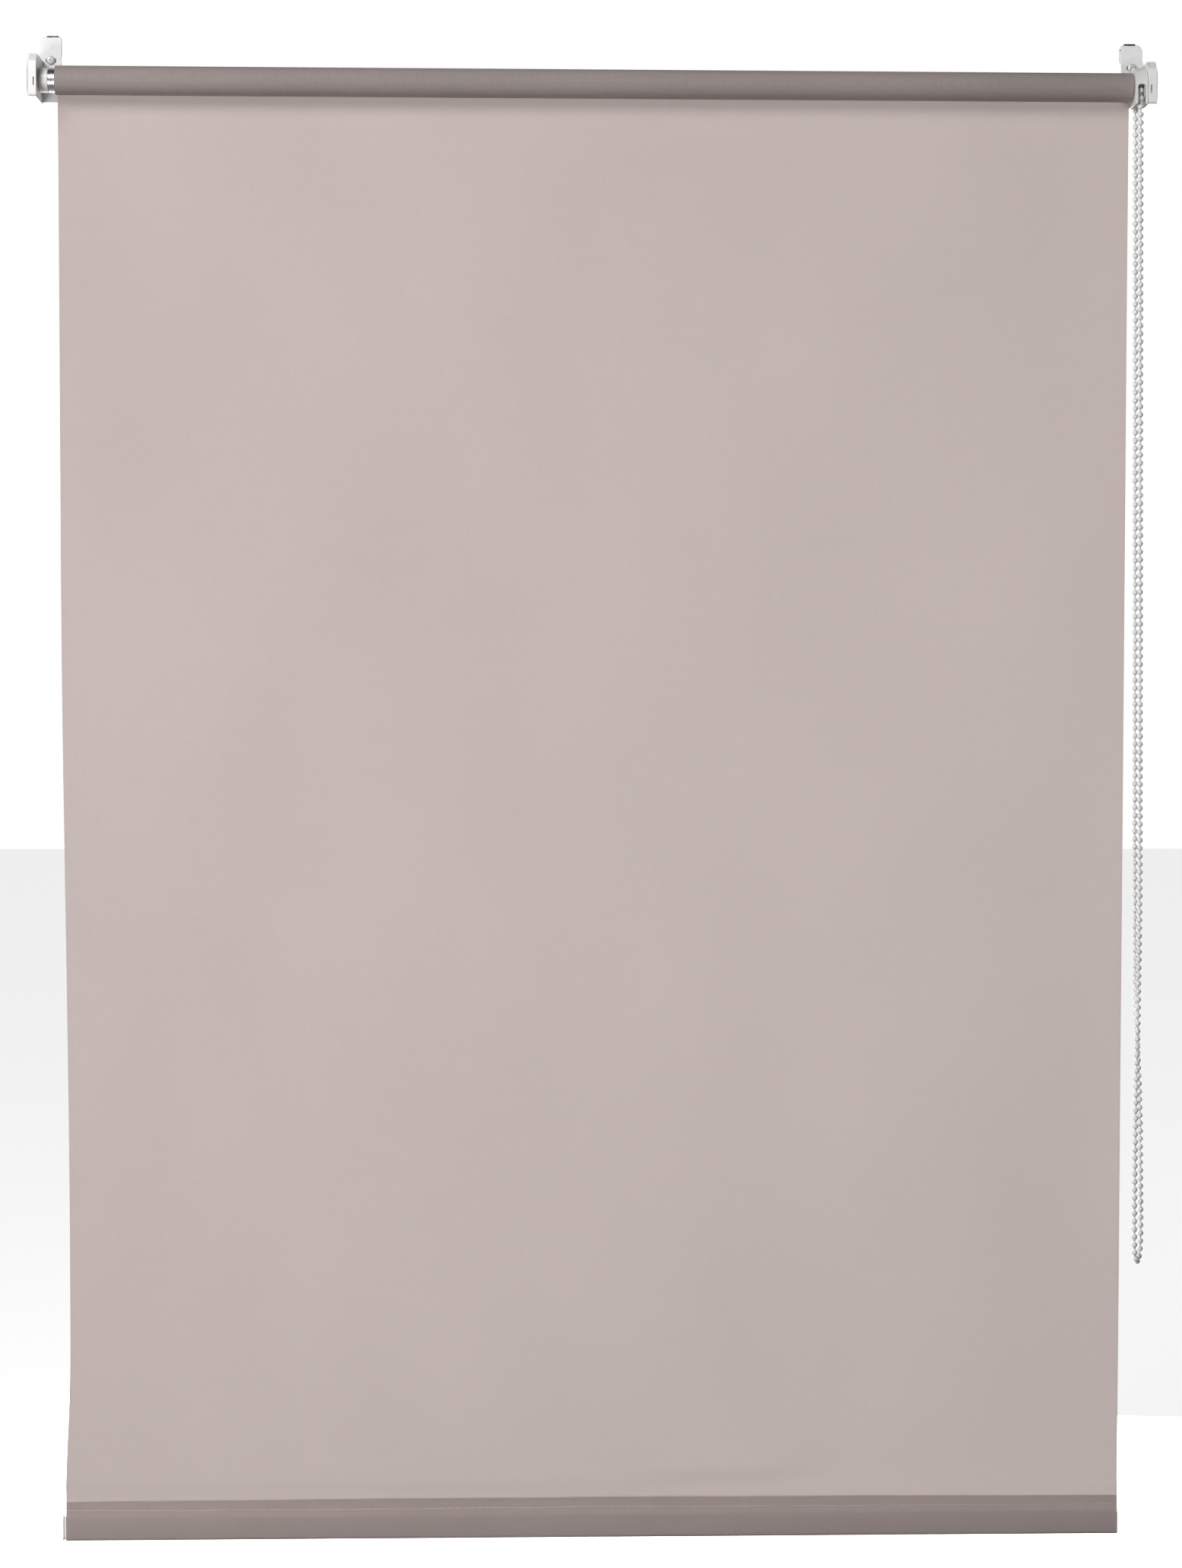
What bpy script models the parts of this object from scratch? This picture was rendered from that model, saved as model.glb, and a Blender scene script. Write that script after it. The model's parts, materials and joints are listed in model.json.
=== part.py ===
"""Clip-on mini roller blind with a bead chain drive.

Frame: +X to the right, +Y back to the window, +Z up, metres. The origin is at mid-width, on the back
of the clip pads (Y = 0) and on the underside of the hooks (Z = 0), where the blind hangs on the top
edge of a window sash. The sheet is let down to its lowest stop.
"""

import math

import bmesh
import bpy

# Fabric
FABRIC_WIDTH = 0.800
FABRIC_THICK = 0.00045
WOUND_TURNS = 4
HEM_TOP_DROP = 1.065  # roll axis to the top of the hem
HEM_FLAP = 0.0093
HEM_POCKET = 0.0200
HEM_POCKET_DEPTH = 0.0062

# Roll axis
AXIS_Y = -0.0226
AXIS_Z = -0.0360

# Tube and its plugs
TUBE_R = 0.0090
TUBE_WALL = 0.0010
TUBE_BARE_END = 0.0035
PLUG_GRIP = 0.0255
COLLAR_END = 0.0103
PIN_R = 0.0024
PIN_FLANGE_R = 0.0030
PIN_TIP = 0.0136
PIN_FLANGE_AT = 0.0060
PIN_FLANGE_LONG = 0.0020
PIN_SPIGOT_R = 0.0012
PIN_SPIGOT = 0.0030
MOUTH_LONG = 0.0022
IDLE_BORE_LONG = 0.0310
IDLE_VENT_R = 0.0009
IDLE_SPRING_R = 0.0022
IDLE_WIRE_R = 0.0003
IDLE_TURNS = 6

# Chain drive
WHEEL_NEAR = 0.0029
WHEEL_WIDE = 0.0062
WHEEL_R = 0.0115
PITCH_R = 0.00955
POCKETS = 10
BEAD_R = 0.00225
AXLE_R = 0.0040
AXLE_REACH = 0.0280
AXLE_FLANGE_R = 0.0090
AXLE_STUB_STEP = 0.0005  # the stub in the bracket is this much thinner than the axle
RING_INSET = 0.0010
RING_WIDE = 0.0008
RING_GROOVE = 0.0006
RING_PROUD = 0.0012
PLUG_LIP_LONG = 0.0026
CLUTCH_ROOM = 0.0016  # between the axle and the bore that the clutch springs grip
CLUTCH_WIRE_R = 0.0004
CLUTCH_LONG = 0.0060
CLUTCH_TURNS = 6
CLUTCH_APART = 0.0020
NECK_WALL = 0.0012
GUARD_R = 0.0145
GUARD_WALL = 0.0016
GUARD_DROP = 0.0135
GUARD_DISC = 0.0011
GUARD_NEAR = 0.0015

# Bracket, cover and hook
TAB_INNER = -0.0030  # measured outward from the fabric's edge, as are the other side positions
TAB_WIDE = 0.0160
PLATE_NEAR = 0.0107
PLATE_THICK = 0.0027
PLATE_WELD = 0.1  # share of a plate's thickness by which the other one stops short in it
BACK_THICK = 0.0023
BACK_TOP = 0.0230
BACK_BOTTOM = -0.0130
BACK_CORNER = 0.0010
COVER_TOP = 0.0186
COVER_BOTTOM = -0.0160
COVER_FRONT = 0.0170
COVER_WALL = 0.0014
COVER_TOP_CORNER = 0.0090
COVER_BOTTOM_CORNER = 0.0060
COVER_RIM = 0.0060
COVER_DOME = 0.0025
COVER_DOME_POWER = 0.7  # below 1 the dome is flatter in its middle
COVER_HOLLOW = 0.0046
COVER_SLIT = (0.0010, 0.0062)
COVER_SLIT_DROP = 0.0035
PAD_THICK = 0.0009
PAD_MARGIN = 0.0010
PAD_TOP_DROP = 0.0060
HOOK_THICK = 0.0012
HOOK_TOP = 0.0002
HOOK_ABOVE = 0.0020  # the hook's plate stops this far above the bracket's lower edge
HOOK_CORNER = 0.0045
HOOK_INNER_CORNER = 0.00135
HOOK_LOW_CORNER = 0.0010
STRIP_THICK = 0.0010
STRIP_SPAN = (-0.0015, 0.0080)
STRIP_BEND = 0.0024
STRIP_LAP = 0.0060  # how far down the plate the strip is joined to it
SASH_THICK = 0.0165
LIP_DROP = 0.0110
SCREW_RISE = 0.0180
SCREW_OUT = 0.0045
SCREW_R = 0.0015
SCREW_HEAD_R = 0.0032
SCREW_HEAD = 0.0017
SCREW_EDGE = (0.6, 0.92)  # shares of the head's height and radius where its rim rounds over
SCREW_CROWN = 0.55
SLOT_WIDE = 0.0080

# Bottom bar
BAR_THICK = 0.0040
BAR_TALL = 0.0172
BAR_SHORT = 0.0020  # each end of the bar stops this far inside the fabric's edge
BAR_PLUG_LIP = 0.0011

GAP = 0.0003
CHAMFER = 0.0005
NEARLY_SQUARE = 0.00001  # corner radius
CUT_SPARE = 0.0010  # a cutter reaches this far past what it cuts
HALF = FABRIC_WIDTH / 2
ROLL_R = TUBE_R + WOUND_TURNS * FABRIC_THICK
SHEET_Y = AXIS_Y + ROLL_R + GAP + FABRIC_THICK / 2
HEM_TOP = AXIS_Z - HEM_TOP_DROP
PLUG_R = TUBE_R - TUBE_WALL - GAP
IDLE_BORE_R = PIN_FLANGE_R + GAP
AXLE_STUB_R = AXLE_R - AXLE_STUB_STEP
CLUTCH_BORE_R = AXLE_R + CLUTCH_ROOM
NECK_R = CLUTCH_BORE_R + NECK_WALL
CHAIN_X = HALF + WHEEL_NEAR + WHEEL_WIDE / 2

# The free loop of the bead chain, from the wheel's front side down, round and up to its back side.
CHAIN_ROUTE = [
    (0.4060, -0.03215, -0.0363),
    (0.4060, -0.03215, -0.0560),
    (0.4064, -0.03215, -0.1060),
    (0.4071, -0.03215, -0.1960),
    (0.4080, -0.03215, -0.3160),
    (0.4090, -0.03215, -0.4360),
    (0.4099, -0.03215, -0.5560),
    (0.4104, -0.03215, -0.6360),
    (0.4100, -0.03205, -0.7160),
    (0.4091, -0.03160, -0.7960),
    (0.4088, -0.03125, -0.8560),
    (0.4089, -0.03115, -0.8960),
    (0.4098, -0.02930, -0.9120),
    (0.4130, -0.02260, -0.9185),
    (0.4162, -0.01590, -0.9120),
    (0.4171, -0.01405, -0.8960),
    (0.4166, -0.01395, -0.8560),
    (0.4155, -0.01360, -0.7960),
    (0.4118, -0.01315, -0.7160),
    (0.4106, -0.01305, -0.6360),
    (0.4099, -0.01305, -0.5560),
    (0.4090, -0.01305, -0.4360),
    (0.4080, -0.01305, -0.3160),
    (0.4071, -0.01305, -0.1960),
    (0.4064, -0.01305, -0.1060),
    (0.4060, -0.01305, -0.0560),
    (0.4060, -0.01305, -0.0363),
]
CHAIN_POINTS = 80
SEGMENT_STEPS = 24


def make_material(name, colour, roughness, metallic=0.0):
    material = bpy.data.materials.new(name)
    material.use_nodes = True
    shader = material.node_tree.nodes["Principled BSDF"]
    shader.inputs["Base Color"].default_value = (*colour, 1.0)
    shader.inputs["Roughness"].default_value = roughness
    shader.inputs["Metallic"].default_value = metallic
    return material


def make_empty(name, location, parent=None):
    empty = bpy.data.objects.new(name, None)
    empty.location = location
    empty.parent = parent
    bpy.context.scene.collection.objects.link(empty)
    return empty


def finish(name, mesh_data, material, parent=None):
    """Turns mesh data into a named object with its normals outward and round faces smooth."""
    bmesh.ops.remove_doubles(mesh_data, verts=mesh_data.verts, dist=1e-6)
    bmesh.ops.recalc_face_normals(mesh_data, faces=mesh_data.faces)
    mesh = bpy.data.meshes.new(name)
    mesh_data.to_mesh(mesh)
    mesh_data.free()
    mesh.shade_smooth()
    mesh.set_sharp_from_angle(angle=math.radians(35))
    obj = bpy.data.objects.new(name, mesh)
    obj.parent = parent
    if material:
        mesh.materials.append(material)
    bpy.context.scene.collection.objects.link(obj)
    return obj


def arc(centre, radius, start, end, steps=6):
    """Points on a circle from start to end, in degrees."""
    angles = [math.radians(start + (end - start) * i / steps) for i in range(steps + 1)]
    return [(centre[0] + radius * math.cos(a), centre[1] + radius * math.sin(a)) for a in angles]


def rounded_rectangle(low, high, radii, steps=6):
    """Outline with its own radius at each corner: low-low, high-low, high-high, low-high."""
    (u0, v0), (u1, v1) = low, high
    r0, r1, r2, r3 = radii
    return (
        arc((u0 + r0, v0 + r0), r0, 180, 270, steps)
        + arc((u1 - r1, v0 + r1), r1, 270, 360, steps)
        + arc((u1 - r2, v1 - r2), r2, 0, 90, steps)
        + arc((u0 + r3, v1 - r3), r3, 90, 180, steps)
    )


def turned(name, profile, material, sides=32, parent=None):
    """A profile of (x, radius) points spun about the X axis. It is a closed loop unless its ends
    lie on the axis."""
    data = bmesh.new()
    verts = [data.verts.new((x, 0.0, radius)) for x, radius in profile]
    pairs = list(zip(verts, verts[1:]))
    if profile[0][1] > 0:
        pairs.append((verts[-1], verts[0]))
    edges = [data.edges.new(pair) for pair in pairs]
    bmesh.ops.spin(
        data,
        geom=verts + edges,
        cent=(0, 0, 0),
        axis=(1, 0, 0),
        angle=2 * math.pi,
        steps=sides,
        use_merge=True,
    )
    return finish(name, data, material, parent)


def prism(name, outline, plane, start, end, material, parent=None):
    """An outline in the YZ or XZ plane, pushed from start to end along the third axis."""
    corner = {
        "YZ": lambda u, v: (start, u, v),
        "XZ": lambda u, v: (u, start, v),
    }[plane]
    push = {"YZ": (end - start, 0, 0), "XZ": (0, end - start, 0)}[plane]
    data = bmesh.new()
    face = data.faces.new([data.verts.new(corner(u, v)) for u, v in outline])
    made = bmesh.ops.extrude_face_region(data, geom=[face])
    moved = [item for item in made["geom"] if isinstance(item, bmesh.types.BMVert)]
    bmesh.ops.translate(data, verts=moved, vec=push)
    return finish(name, data, material, parent)


def tube_curve(name, points, radius, material, resolution=2, parent=None):
    """A round wire or cord along a line of points."""
    curve = bpy.data.curves.new(name, "CURVE")
    curve.dimensions = "3D"
    spline = curve.splines.new("POLY")
    spline.points.add(len(points) - 1)
    for point, place in zip(spline.points, points):
        point.co = (*place, 1.0)
    curve.bevel_depth = radius
    curve.bevel_resolution = resolution
    curve.use_fill_caps = True
    curve.materials.append(material)
    obj = bpy.data.objects.new(name, curve)
    obj.parent = parent
    bpy.context.scene.collection.objects.link(obj)
    return obj


def smooth_line(route, count):
    """Evenly spread points on the Catmull-Rom curve through the route."""
    padded = [route[0], *route, route[-1]]
    fine = []
    for a, b, c, d in zip(padded, padded[1:], padded[2:], padded[3:]):
        for step in range(SEGMENT_STEPS):
            t = step / SEGMENT_STEPS
            place = []
            for p, q, r, s in zip(a, b, c, d):
                bend = (2 * p - 5 * q + 4 * r - s) * t**2 + (3 * q - p - 3 * r + s) * t**3
                place.append(0.5 * (2 * q + (r - p) * t + bend))
            fine.append(tuple(place))
    fine.append(route[-1])
    along = [0.0]
    for before, after in zip(fine, fine[1:]):
        along.append(along[-1] + math.dist(before, after))
    points = []
    index = 0
    for number in range(count):
        target = along[-1] * number / (count - 1)
        while index < len(along) - 2 and along[index + 1] < target:
            index += 1
        share = (target - along[index]) / (along[index + 1] - along[index])
        points.append(tuple(p + (q - p) * share for p, q in zip(fine[index], fine[index + 1])))
    return points


def coil(name, start, end, radius, wire, turns, material, parent=None):
    """A coil spring along X."""
    per_turn = 10
    count = turns * per_turn
    points = []
    for i in range(count + 1):
        angle = 2 * math.pi * i / per_turn
        x = start + (end - start) * i / count
        points.append((x, radius * math.cos(angle), radius * math.sin(angle)))
    return tube_curve(name, points, wire, material, 1, parent)


def combine(target, other, operation):
    """Joins or cuts one object with a helper that stays hidden in the render."""
    modifier = target.modifiers.new(other.name, "BOOLEAN")
    modifier.operation = operation
    modifier.solver = "EXACT"
    modifier.object = other
    other.hide_render = True
    other.display_type = "WIRE"


def build_tube_and_fabric(materials, roll, curtain, bar):
    """The tube, the fabric wound on it, the hanging sheet, its hem and the bar in the hem."""
    tube_ends = (-HALF - TUBE_BARE_END, HALF + GUARD_NEAR - 2 * GAP)
    turned(
        "roller_tube",
        [
            (tube_ends[0], TUBE_R - TUBE_WALL),
            (tube_ends[0], TUBE_R),
            (tube_ends[1], TUBE_R),
            (tube_ends[1], TUBE_R - TUBE_WALL),
        ],
        materials["aluminium"],
        48,
        roll,
    )
    turned(
        "fabric_roll",
        [(-HALF, TUBE_R + GAP), (-HALF, ROLL_R), (HALF, ROLL_R), (HALF, TUBE_R + GAP)],
        materials["fabric"],
        48,
        roll,
    )
    half_sheet = FABRIC_THICK / 2
    sheet = [
        (-half_sheet, 0.0),
        (half_sheet, 0.0),
        (half_sheet, -HEM_TOP_DROP + GAP),
        (-half_sheet, -HEM_TOP_DROP + GAP),
    ]
    prism("fabric_sheet", sheet, "YZ", -HALF, HALF, materials["fabric"], curtain)

    pocket_top = -HEM_FLAP
    pocket_bottom = pocket_top - HEM_POCKET
    deep = HEM_POCKET_DEPTH / 2
    round_r = deep * 0.9
    outer = (
        [(-FABRIC_THICK, 0.0), (-FABRIC_THICK, pocket_top)]
        + arc((-deep + round_r, pocket_top - round_r - GAP), round_r, 120, 180, 4)
        + arc((-deep + round_r, pocket_bottom + round_r), round_r, 180, 270, 6)
        + arc((deep - round_r, pocket_bottom + round_r), round_r, 270, 360, 6)
        + arc((deep - round_r, pocket_top - round_r - GAP), round_r, 0, 60, 4)
        + [(FABRIC_THICK, pocket_top), (FABRIC_THICK, 0.0)]
    )
    pocket = prism("hem_pocket", outer, "YZ", -HALF, HALF, materials["fabric"], bar)
    bar_middle = (pocket_top + pocket_bottom) / 2 - GAP
    bar_half = (BAR_THICK / 2, BAR_TALL / 2)

    def bar_outline(spare):
        low = (-bar_half[0] - spare, bar_middle - bar_half[1] - spare)
        high = (bar_half[0] + spare, bar_middle + bar_half[1] + spare)
        return rounded_rectangle(low, high, [bar_half[0] * 0.9] * 4, 4)

    sleeve_end = HALF + CUT_SPARE
    sleeve = prism("hem_sleeve_cutter", bar_outline(GAP), "YZ", -sleeve_end, sleeve_end, None, bar)
    combine(pocket, sleeve, "DIFFERENCE")
    bar_end = HALF - BAR_SHORT
    prism("bottom_bar", bar_outline(0), "YZ", -bar_end, bar_end, materials["aluminium"], bar)
    for side, label in ((-1, "left"), (1, "right")):
        core = prism(
            f"bar_plug_{label}",
            bar_outline(0),
            "YZ",
            side * (bar_end + GAP),
            side * (HALF + GAP + BAR_PLUG_LIP / 2),
            materials["plastic"],
            bar,
        )
        lip_low = (-deep + GAP, pocket_bottom + GAP)
        lip_high = (deep - GAP, pocket_top - 3 * GAP)
        lip = prism(
            f"bar_plug_lip_{label}",
            rounded_rectangle(lip_low, lip_high, [deep * 0.8] * 4, 4),
            "YZ",
            side * (HALF + GAP),
            side * (HALF + GAP + BAR_PLUG_LIP),
            None,
            bar,
        )
        combine(core, lip, "UNION")


def build_idle_end(materials, roll):
    """The plug in the left end of the tube, with its sprung pin."""
    collar_far = -HALF - COLLAR_END
    collar_near = -HALF - TUBE_BARE_END - GAP
    inner = collar_near + PLUG_GRIP
    bore_bottom = collar_far + IDLE_BORE_LONG
    mouth_r = PIN_R + GAP
    turned(
        "idle_plug",
        [
            (collar_far, mouth_r),
            (collar_far, TUBE_R - CHAMFER),
            (collar_far + CHAMFER, TUBE_R),
            (collar_near, TUBE_R),
            (collar_near, PLUG_R),
            (inner - CHAMFER, PLUG_R),
            (inner, PLUG_R - CHAMFER),
            (inner, IDLE_VENT_R),
            (bore_bottom, IDLE_VENT_R),
            (bore_bottom, IDLE_BORE_R),
            (collar_far + MOUTH_LONG, IDLE_BORE_R),
            (collar_far + MOUTH_LONG, mouth_r),
        ],
        materials["plastic"],
        32,
        roll,
    )
    flange = -HALF + PIN_FLANGE_AT
    spigot = flange + PIN_FLANGE_LONG
    turned(
        "idle_pin",
        [
            (-HALF - PIN_TIP, 0.0),
            (-HALF - PIN_TIP, PIN_R - CHAMFER),
            (-HALF - PIN_TIP + CHAMFER, PIN_R),
            (flange, PIN_R),
            (flange, PIN_FLANGE_R),
            (spigot, PIN_FLANGE_R),
            (spigot, PIN_SPIGOT_R),
            (spigot + PIN_SPIGOT, PIN_SPIGOT_R),
            (spigot + PIN_SPIGOT, 0.0),
        ],
        materials["steel"],
        24,
        roll,
    )
    coil(
        "idle_spring",
        spigot + IDLE_WIRE_R + GAP,
        bore_bottom - IDLE_WIRE_R - GAP,
        IDLE_SPRING_R,
        IDLE_WIRE_R,
        IDLE_TURNS,
        materials["steel"],
        roll,
    )


def build_drive_end(materials, roll, fixed):
    """The fixed axle with its clutch, and the wheel, plug and chain that turn about it."""
    wheel_near = HALF + WHEEL_NEAR
    wheel_far = wheel_near + WHEEL_WIDE
    guard_near = HALF + GUARD_NEAR
    plate = HALF + PLATE_NEAR
    axle_end = HALF - AXLE_REACH
    groove = axle_end + RING_INSET
    plug_end = groove + RING_WIDE + 3 * GAP

    turned(
        "drive_axle",
        [
            (axle_end, 0.0),
            (axle_end, AXLE_R - CHAMFER),
            (axle_end + CHAMFER, AXLE_R),
            (groove, AXLE_R),
            (groove, AXLE_R - RING_GROOVE - GAP),
            (groove + RING_WIDE + 2 * GAP, AXLE_R - RING_GROOVE - GAP),
            (groove + RING_WIDE + 2 * GAP, AXLE_R),
            (wheel_far + GAP, AXLE_R),
            (wheel_far + GAP, AXLE_FLANGE_R),
            (plate - GAP, AXLE_FLANGE_R),
            (plate - GAP, AXLE_STUB_R),
            (plate + PLATE_THICK - GAP, AXLE_STUB_R),
            (plate + PLATE_THICK - GAP, 0.0),
        ],
        materials["plastic"],
        32,
        fixed,
    )
    turned(
        "retaining_ring",
        [
            (groove + GAP, AXLE_R - RING_GROOVE),
            (groove + GAP, AXLE_R + RING_PROUD),
            (groove + GAP + RING_WIDE, AXLE_R + RING_PROUD),
            (groove + GAP + RING_WIDE, AXLE_R - RING_GROOVE),
        ],
        materials["steel"],
        32,
        fixed,
    )
    neck_start = guard_near - 2 * GAP
    lip_end = plug_end + PLUG_LIP_LONG
    turned(
        "drive_plug",
        [
            (plug_end, AXLE_R + GAP),
            (plug_end, PLUG_R - CHAMFER),
            (plug_end + CHAMFER, PLUG_R),
            (neck_start, PLUG_R),
            (neck_start, NECK_R),
            (wheel_near - GAP, NECK_R),
            (wheel_near - GAP, CLUTCH_BORE_R),
            (lip_end, CLUTCH_BORE_R),
            (lip_end, AXLE_R + GAP),
        ],
        materials["plastic"],
        32,
        roll,
    )
    spring_r = (AXLE_R + CLUTCH_BORE_R) / 2
    first = lip_end + 2 * CLUTCH_WIRE_R
    for label, start in (("inner", first), ("outer", first + CLUTCH_LONG + CLUTCH_APART)):
        coil(
            f"clutch_spring_{label}",
            start,
            start + CLUTCH_LONG,
            spring_r,
            CLUTCH_WIRE_R,
            CLUTCH_TURNS,
            materials["steel"],
            roll,
        )

    middle = (wheel_near + wheel_far) / 2
    groove_r = BEAD_R + GAP
    bottom = arc((middle, PITCH_R), groove_r, 180, 360, 6)
    wheel = turned(
        "chain_wheel",
        [(wheel_near, AXLE_R + GAP), (wheel_near, WHEEL_R), (middle - groove_r, WHEEL_R)]
        + bottom
        + [(middle + groove_r, WHEEL_R), (wheel_far, WHEEL_R), (wheel_far, AXLE_R + GAP)],
        materials["plastic"],
        32,
        roll,
    )
    for number in range(POCKETS):
        angle = 2 * math.pi * number / POCKETS
        data = bmesh.new()
        bmesh.ops.create_uvsphere(data, u_segments=8, v_segments=4, radius=groove_r + GAP)
        pocket = finish(f"wheel_pocket_cutter_{number}", data, None, roll)
        pocket.location = (middle, PITCH_R * math.cos(angle), PITCH_R * math.sin(angle))
        combine(wheel, pocket, "DIFFERENCE")

    def arch(radius, bottom):
        return [(-radius, bottom)] + arc((0, 0), radius, 180, 0, 24) + [(radius, bottom)]

    guard_far = plate - GAP
    guard = prism(
        "chain_guard", arch(GUARD_R, -GUARD_DROP), "YZ", guard_near, guard_far, materials["plastic"], fixed
    )
    chain_room = prism(
        "guard_room_cutter",
        arch(GUARD_R - GUARD_WALL, -2 * GUARD_DROP),
        "YZ",
        guard_near + GUARD_DISC,
        guard_far + CUT_SPARE,
        None,
        fixed,
    )
    combine(guard, chain_room, "DIFFERENCE")
    neck_hole = prism(
        "guard_neck_cutter",
        arc((0, 0), NECK_R + 2 * GAP, 0, 350, 35),
        "YZ",
        guard_near - CUT_SPARE,
        guard_near + GUARD_DISC + CUT_SPARE,
        None,
        fixed,
    )
    combine(guard, neck_hole, "DIFFERENCE")

    data = bmesh.new()
    around = arc((PITCH_R, 0), BEAD_R, 0, 330, 11)
    face = data.faces.new([data.verts.new((CHAIN_X + across, out, 0.0)) for out, across in around])
    bmesh.ops.spin(data, geom=[face], cent=(0, 0, 0), axis=(1, 0, 0), angle=math.pi, steps=16)
    finish("wheel_beads", data, materials["plastic"], fixed)


def build_bracket(side, label, materials, hole_r, fixed):
    """One side's hook, pad, bracket, screw and cover. Heights and depths are about the roll axis."""

    def out(distance):
        return side * (HALF + distance)

    back_y = -AXIS_Y - PAD_THICK - GAP - HOOK_THICK  # front face of the hook, seen from the axis
    tab = (out(TAB_INNER), out(TAB_INNER + TAB_WIDE))
    tab_low, tab_high = min(tab), max(tab)
    hook_bottom = BACK_BOTTOM + HOOK_ABOVE
    top_radii = [HOOK_CORNER, HOOK_INNER_CORNER][::side]
    plate_outline = rounded_rectangle(
        (tab_low, hook_bottom),
        (tab_high, -AXIS_Z + HOOK_TOP),
        [HOOK_LOW_CORNER, HOOK_LOW_CORNER, *top_radii],
    )
    hook = prism(f"hook_{label}", plate_outline, "XZ", back_y, back_y + HOOK_THICK, materials["steel"], fixed)
    spare = (HOOK_THICK - STRIP_THICK) / 2
    front = back_y + spare
    top = -AXIS_Z
    rear = -AXIS_Y + SASH_THICK
    outer, inner = STRIP_BEND, STRIP_BEND - STRIP_THICK
    strip_outline = (
        [(front, top - STRIP_LAP)]
        + arc((front + outer, top + STRIP_THICK - outer), outer, 180, 90)
        + arc((rear + STRIP_THICK - outer, top + STRIP_THICK - outer), outer, 90, 0)
        + [(rear + STRIP_THICK, top - LIP_DROP), (rear, top - LIP_DROP)]
        + arc((rear - inner, top - inner), inner, 0, 90)
        + arc((front + outer, top - inner), inner, 90, 180)
        + [(front + STRIP_THICK, top - STRIP_LAP)]
    )
    strip = prism(
        f"hook_strip_{label}", strip_outline, "YZ", out(STRIP_SPAN[0]), out(STRIP_SPAN[1]), None, fixed
    )
    combine(hook, strip, "UNION")

    screw_x, screw_z = out(SCREW_OUT), SCREW_RISE
    bracket_back = back_y - GAP
    bracket_front = bracket_back - BACK_THICK
    thread = prism(
        f"hook_thread_cutter_{label}",
        arc((screw_x, screw_z), SCREW_R + GAP, 0, 345, 23),
        "XZ",
        back_y - CUT_SPARE,
        back_y + HOOK_THICK + CUT_SPARE,
        None,
        fixed,
    )
    combine(hook, thread, "DIFFERENCE")

    pad_outline = rounded_rectangle(
        (tab_low + PAD_MARGIN, hook_bottom + PAD_MARGIN),
        (tab_high - PAD_MARGIN, -AXIS_Z - PAD_TOP_DROP),
        [PAD_MARGIN] * 4,
        3,
    )
    prism(
        f"clip_pad_{label}", pad_outline, "XZ", back_y + HOOK_THICK + GAP, -AXIS_Y, materials["foam"], fixed
    )

    def side_outline(inset, back):
        low = (-COVER_FRONT + inset, COVER_BOTTOM + inset)
        high = (back, COVER_TOP - inset)
        corners = [COVER_BOTTOM_CORNER - inset, NEARLY_SQUARE, NEARLY_SQUARE, COVER_TOP_CORNER - inset]
        return rounded_rectangle(low, high, corners, 6)

    plate = (out(PLATE_NEAR), out(PLATE_NEAR + PLATE_THICK))
    wall_gap = COVER_WALL + GAP
    bracket = prism(
        f"bracket_{label}",
        side_outline(wall_gap, bracket_back - BACK_THICK * 2 * PLATE_WELD),
        "YZ",
        plate[0],
        plate[1],
        materials["plastic"],
        fixed,
    )
    tab_far = out(PLATE_NEAR + PLATE_THICK * (1 - PLATE_WELD))
    back_outline = rounded_rectangle(
        (min(tab[0], tab_far), BACK_BOTTOM), (max(tab[0], tab_far), BACK_TOP), [BACK_CORNER] * 4, 3
    )
    back = prism(
        f"bracket_back_{label}", back_outline, "XZ", bracket_front, bracket_back, None, fixed
    )
    combine(bracket, back, "UNION")
    slot_half = SLOT_WIDE / 2 - SCREW_R - GAP
    slot = prism(
        f"bracket_slot_cutter_{label}",
        arc((screw_x + slot_half, screw_z), SCREW_R + GAP, -90, 90, 8)
        + arc((screw_x - slot_half, screw_z), SCREW_R + GAP, 90, 270, 8),
        "XZ",
        bracket_front - CUT_SPARE,
        bracket_back + CUT_SPARE,
        None,
        fixed,
    )
    combine(bracket, slot, "DIFFERENCE")
    hole = prism(
        f"bracket_hole_cutter_{label}",
        arc((0, 0), hole_r, 0, 350, 35),
        "YZ",
        plate[0] - side * CUT_SPARE,
        plate[1] + side * CUT_SPARE,
        None,
        fixed,
    )
    combine(bracket, hole, "DIFFERENCE")

    screw = turned(
        f"clip_screw_{label}",
        [
            (-SCREW_HEAD, 0.0),
            (-SCREW_HEAD, SCREW_HEAD_R * SCREW_CROWN),
            (-SCREW_HEAD * SCREW_EDGE[0], SCREW_HEAD_R * SCREW_EDGE[1]),
            (0.0, SCREW_HEAD_R),
            (0.0, SCREW_R),
            (BACK_THICK + 2 * GAP + HOOK_THICK, SCREW_R),
            (BACK_THICK + 2 * GAP + HOOK_THICK, 0.0),
        ],
        materials["steel"],
        24,
        fixed,
    )
    screw.location = (screw_x, bracket_front - GAP, screw_z)
    screw.rotation_euler = (0, 0, math.pi / 2)

    build_cover(side, label, materials, out, side_outline, bracket_front, fixed)


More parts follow.
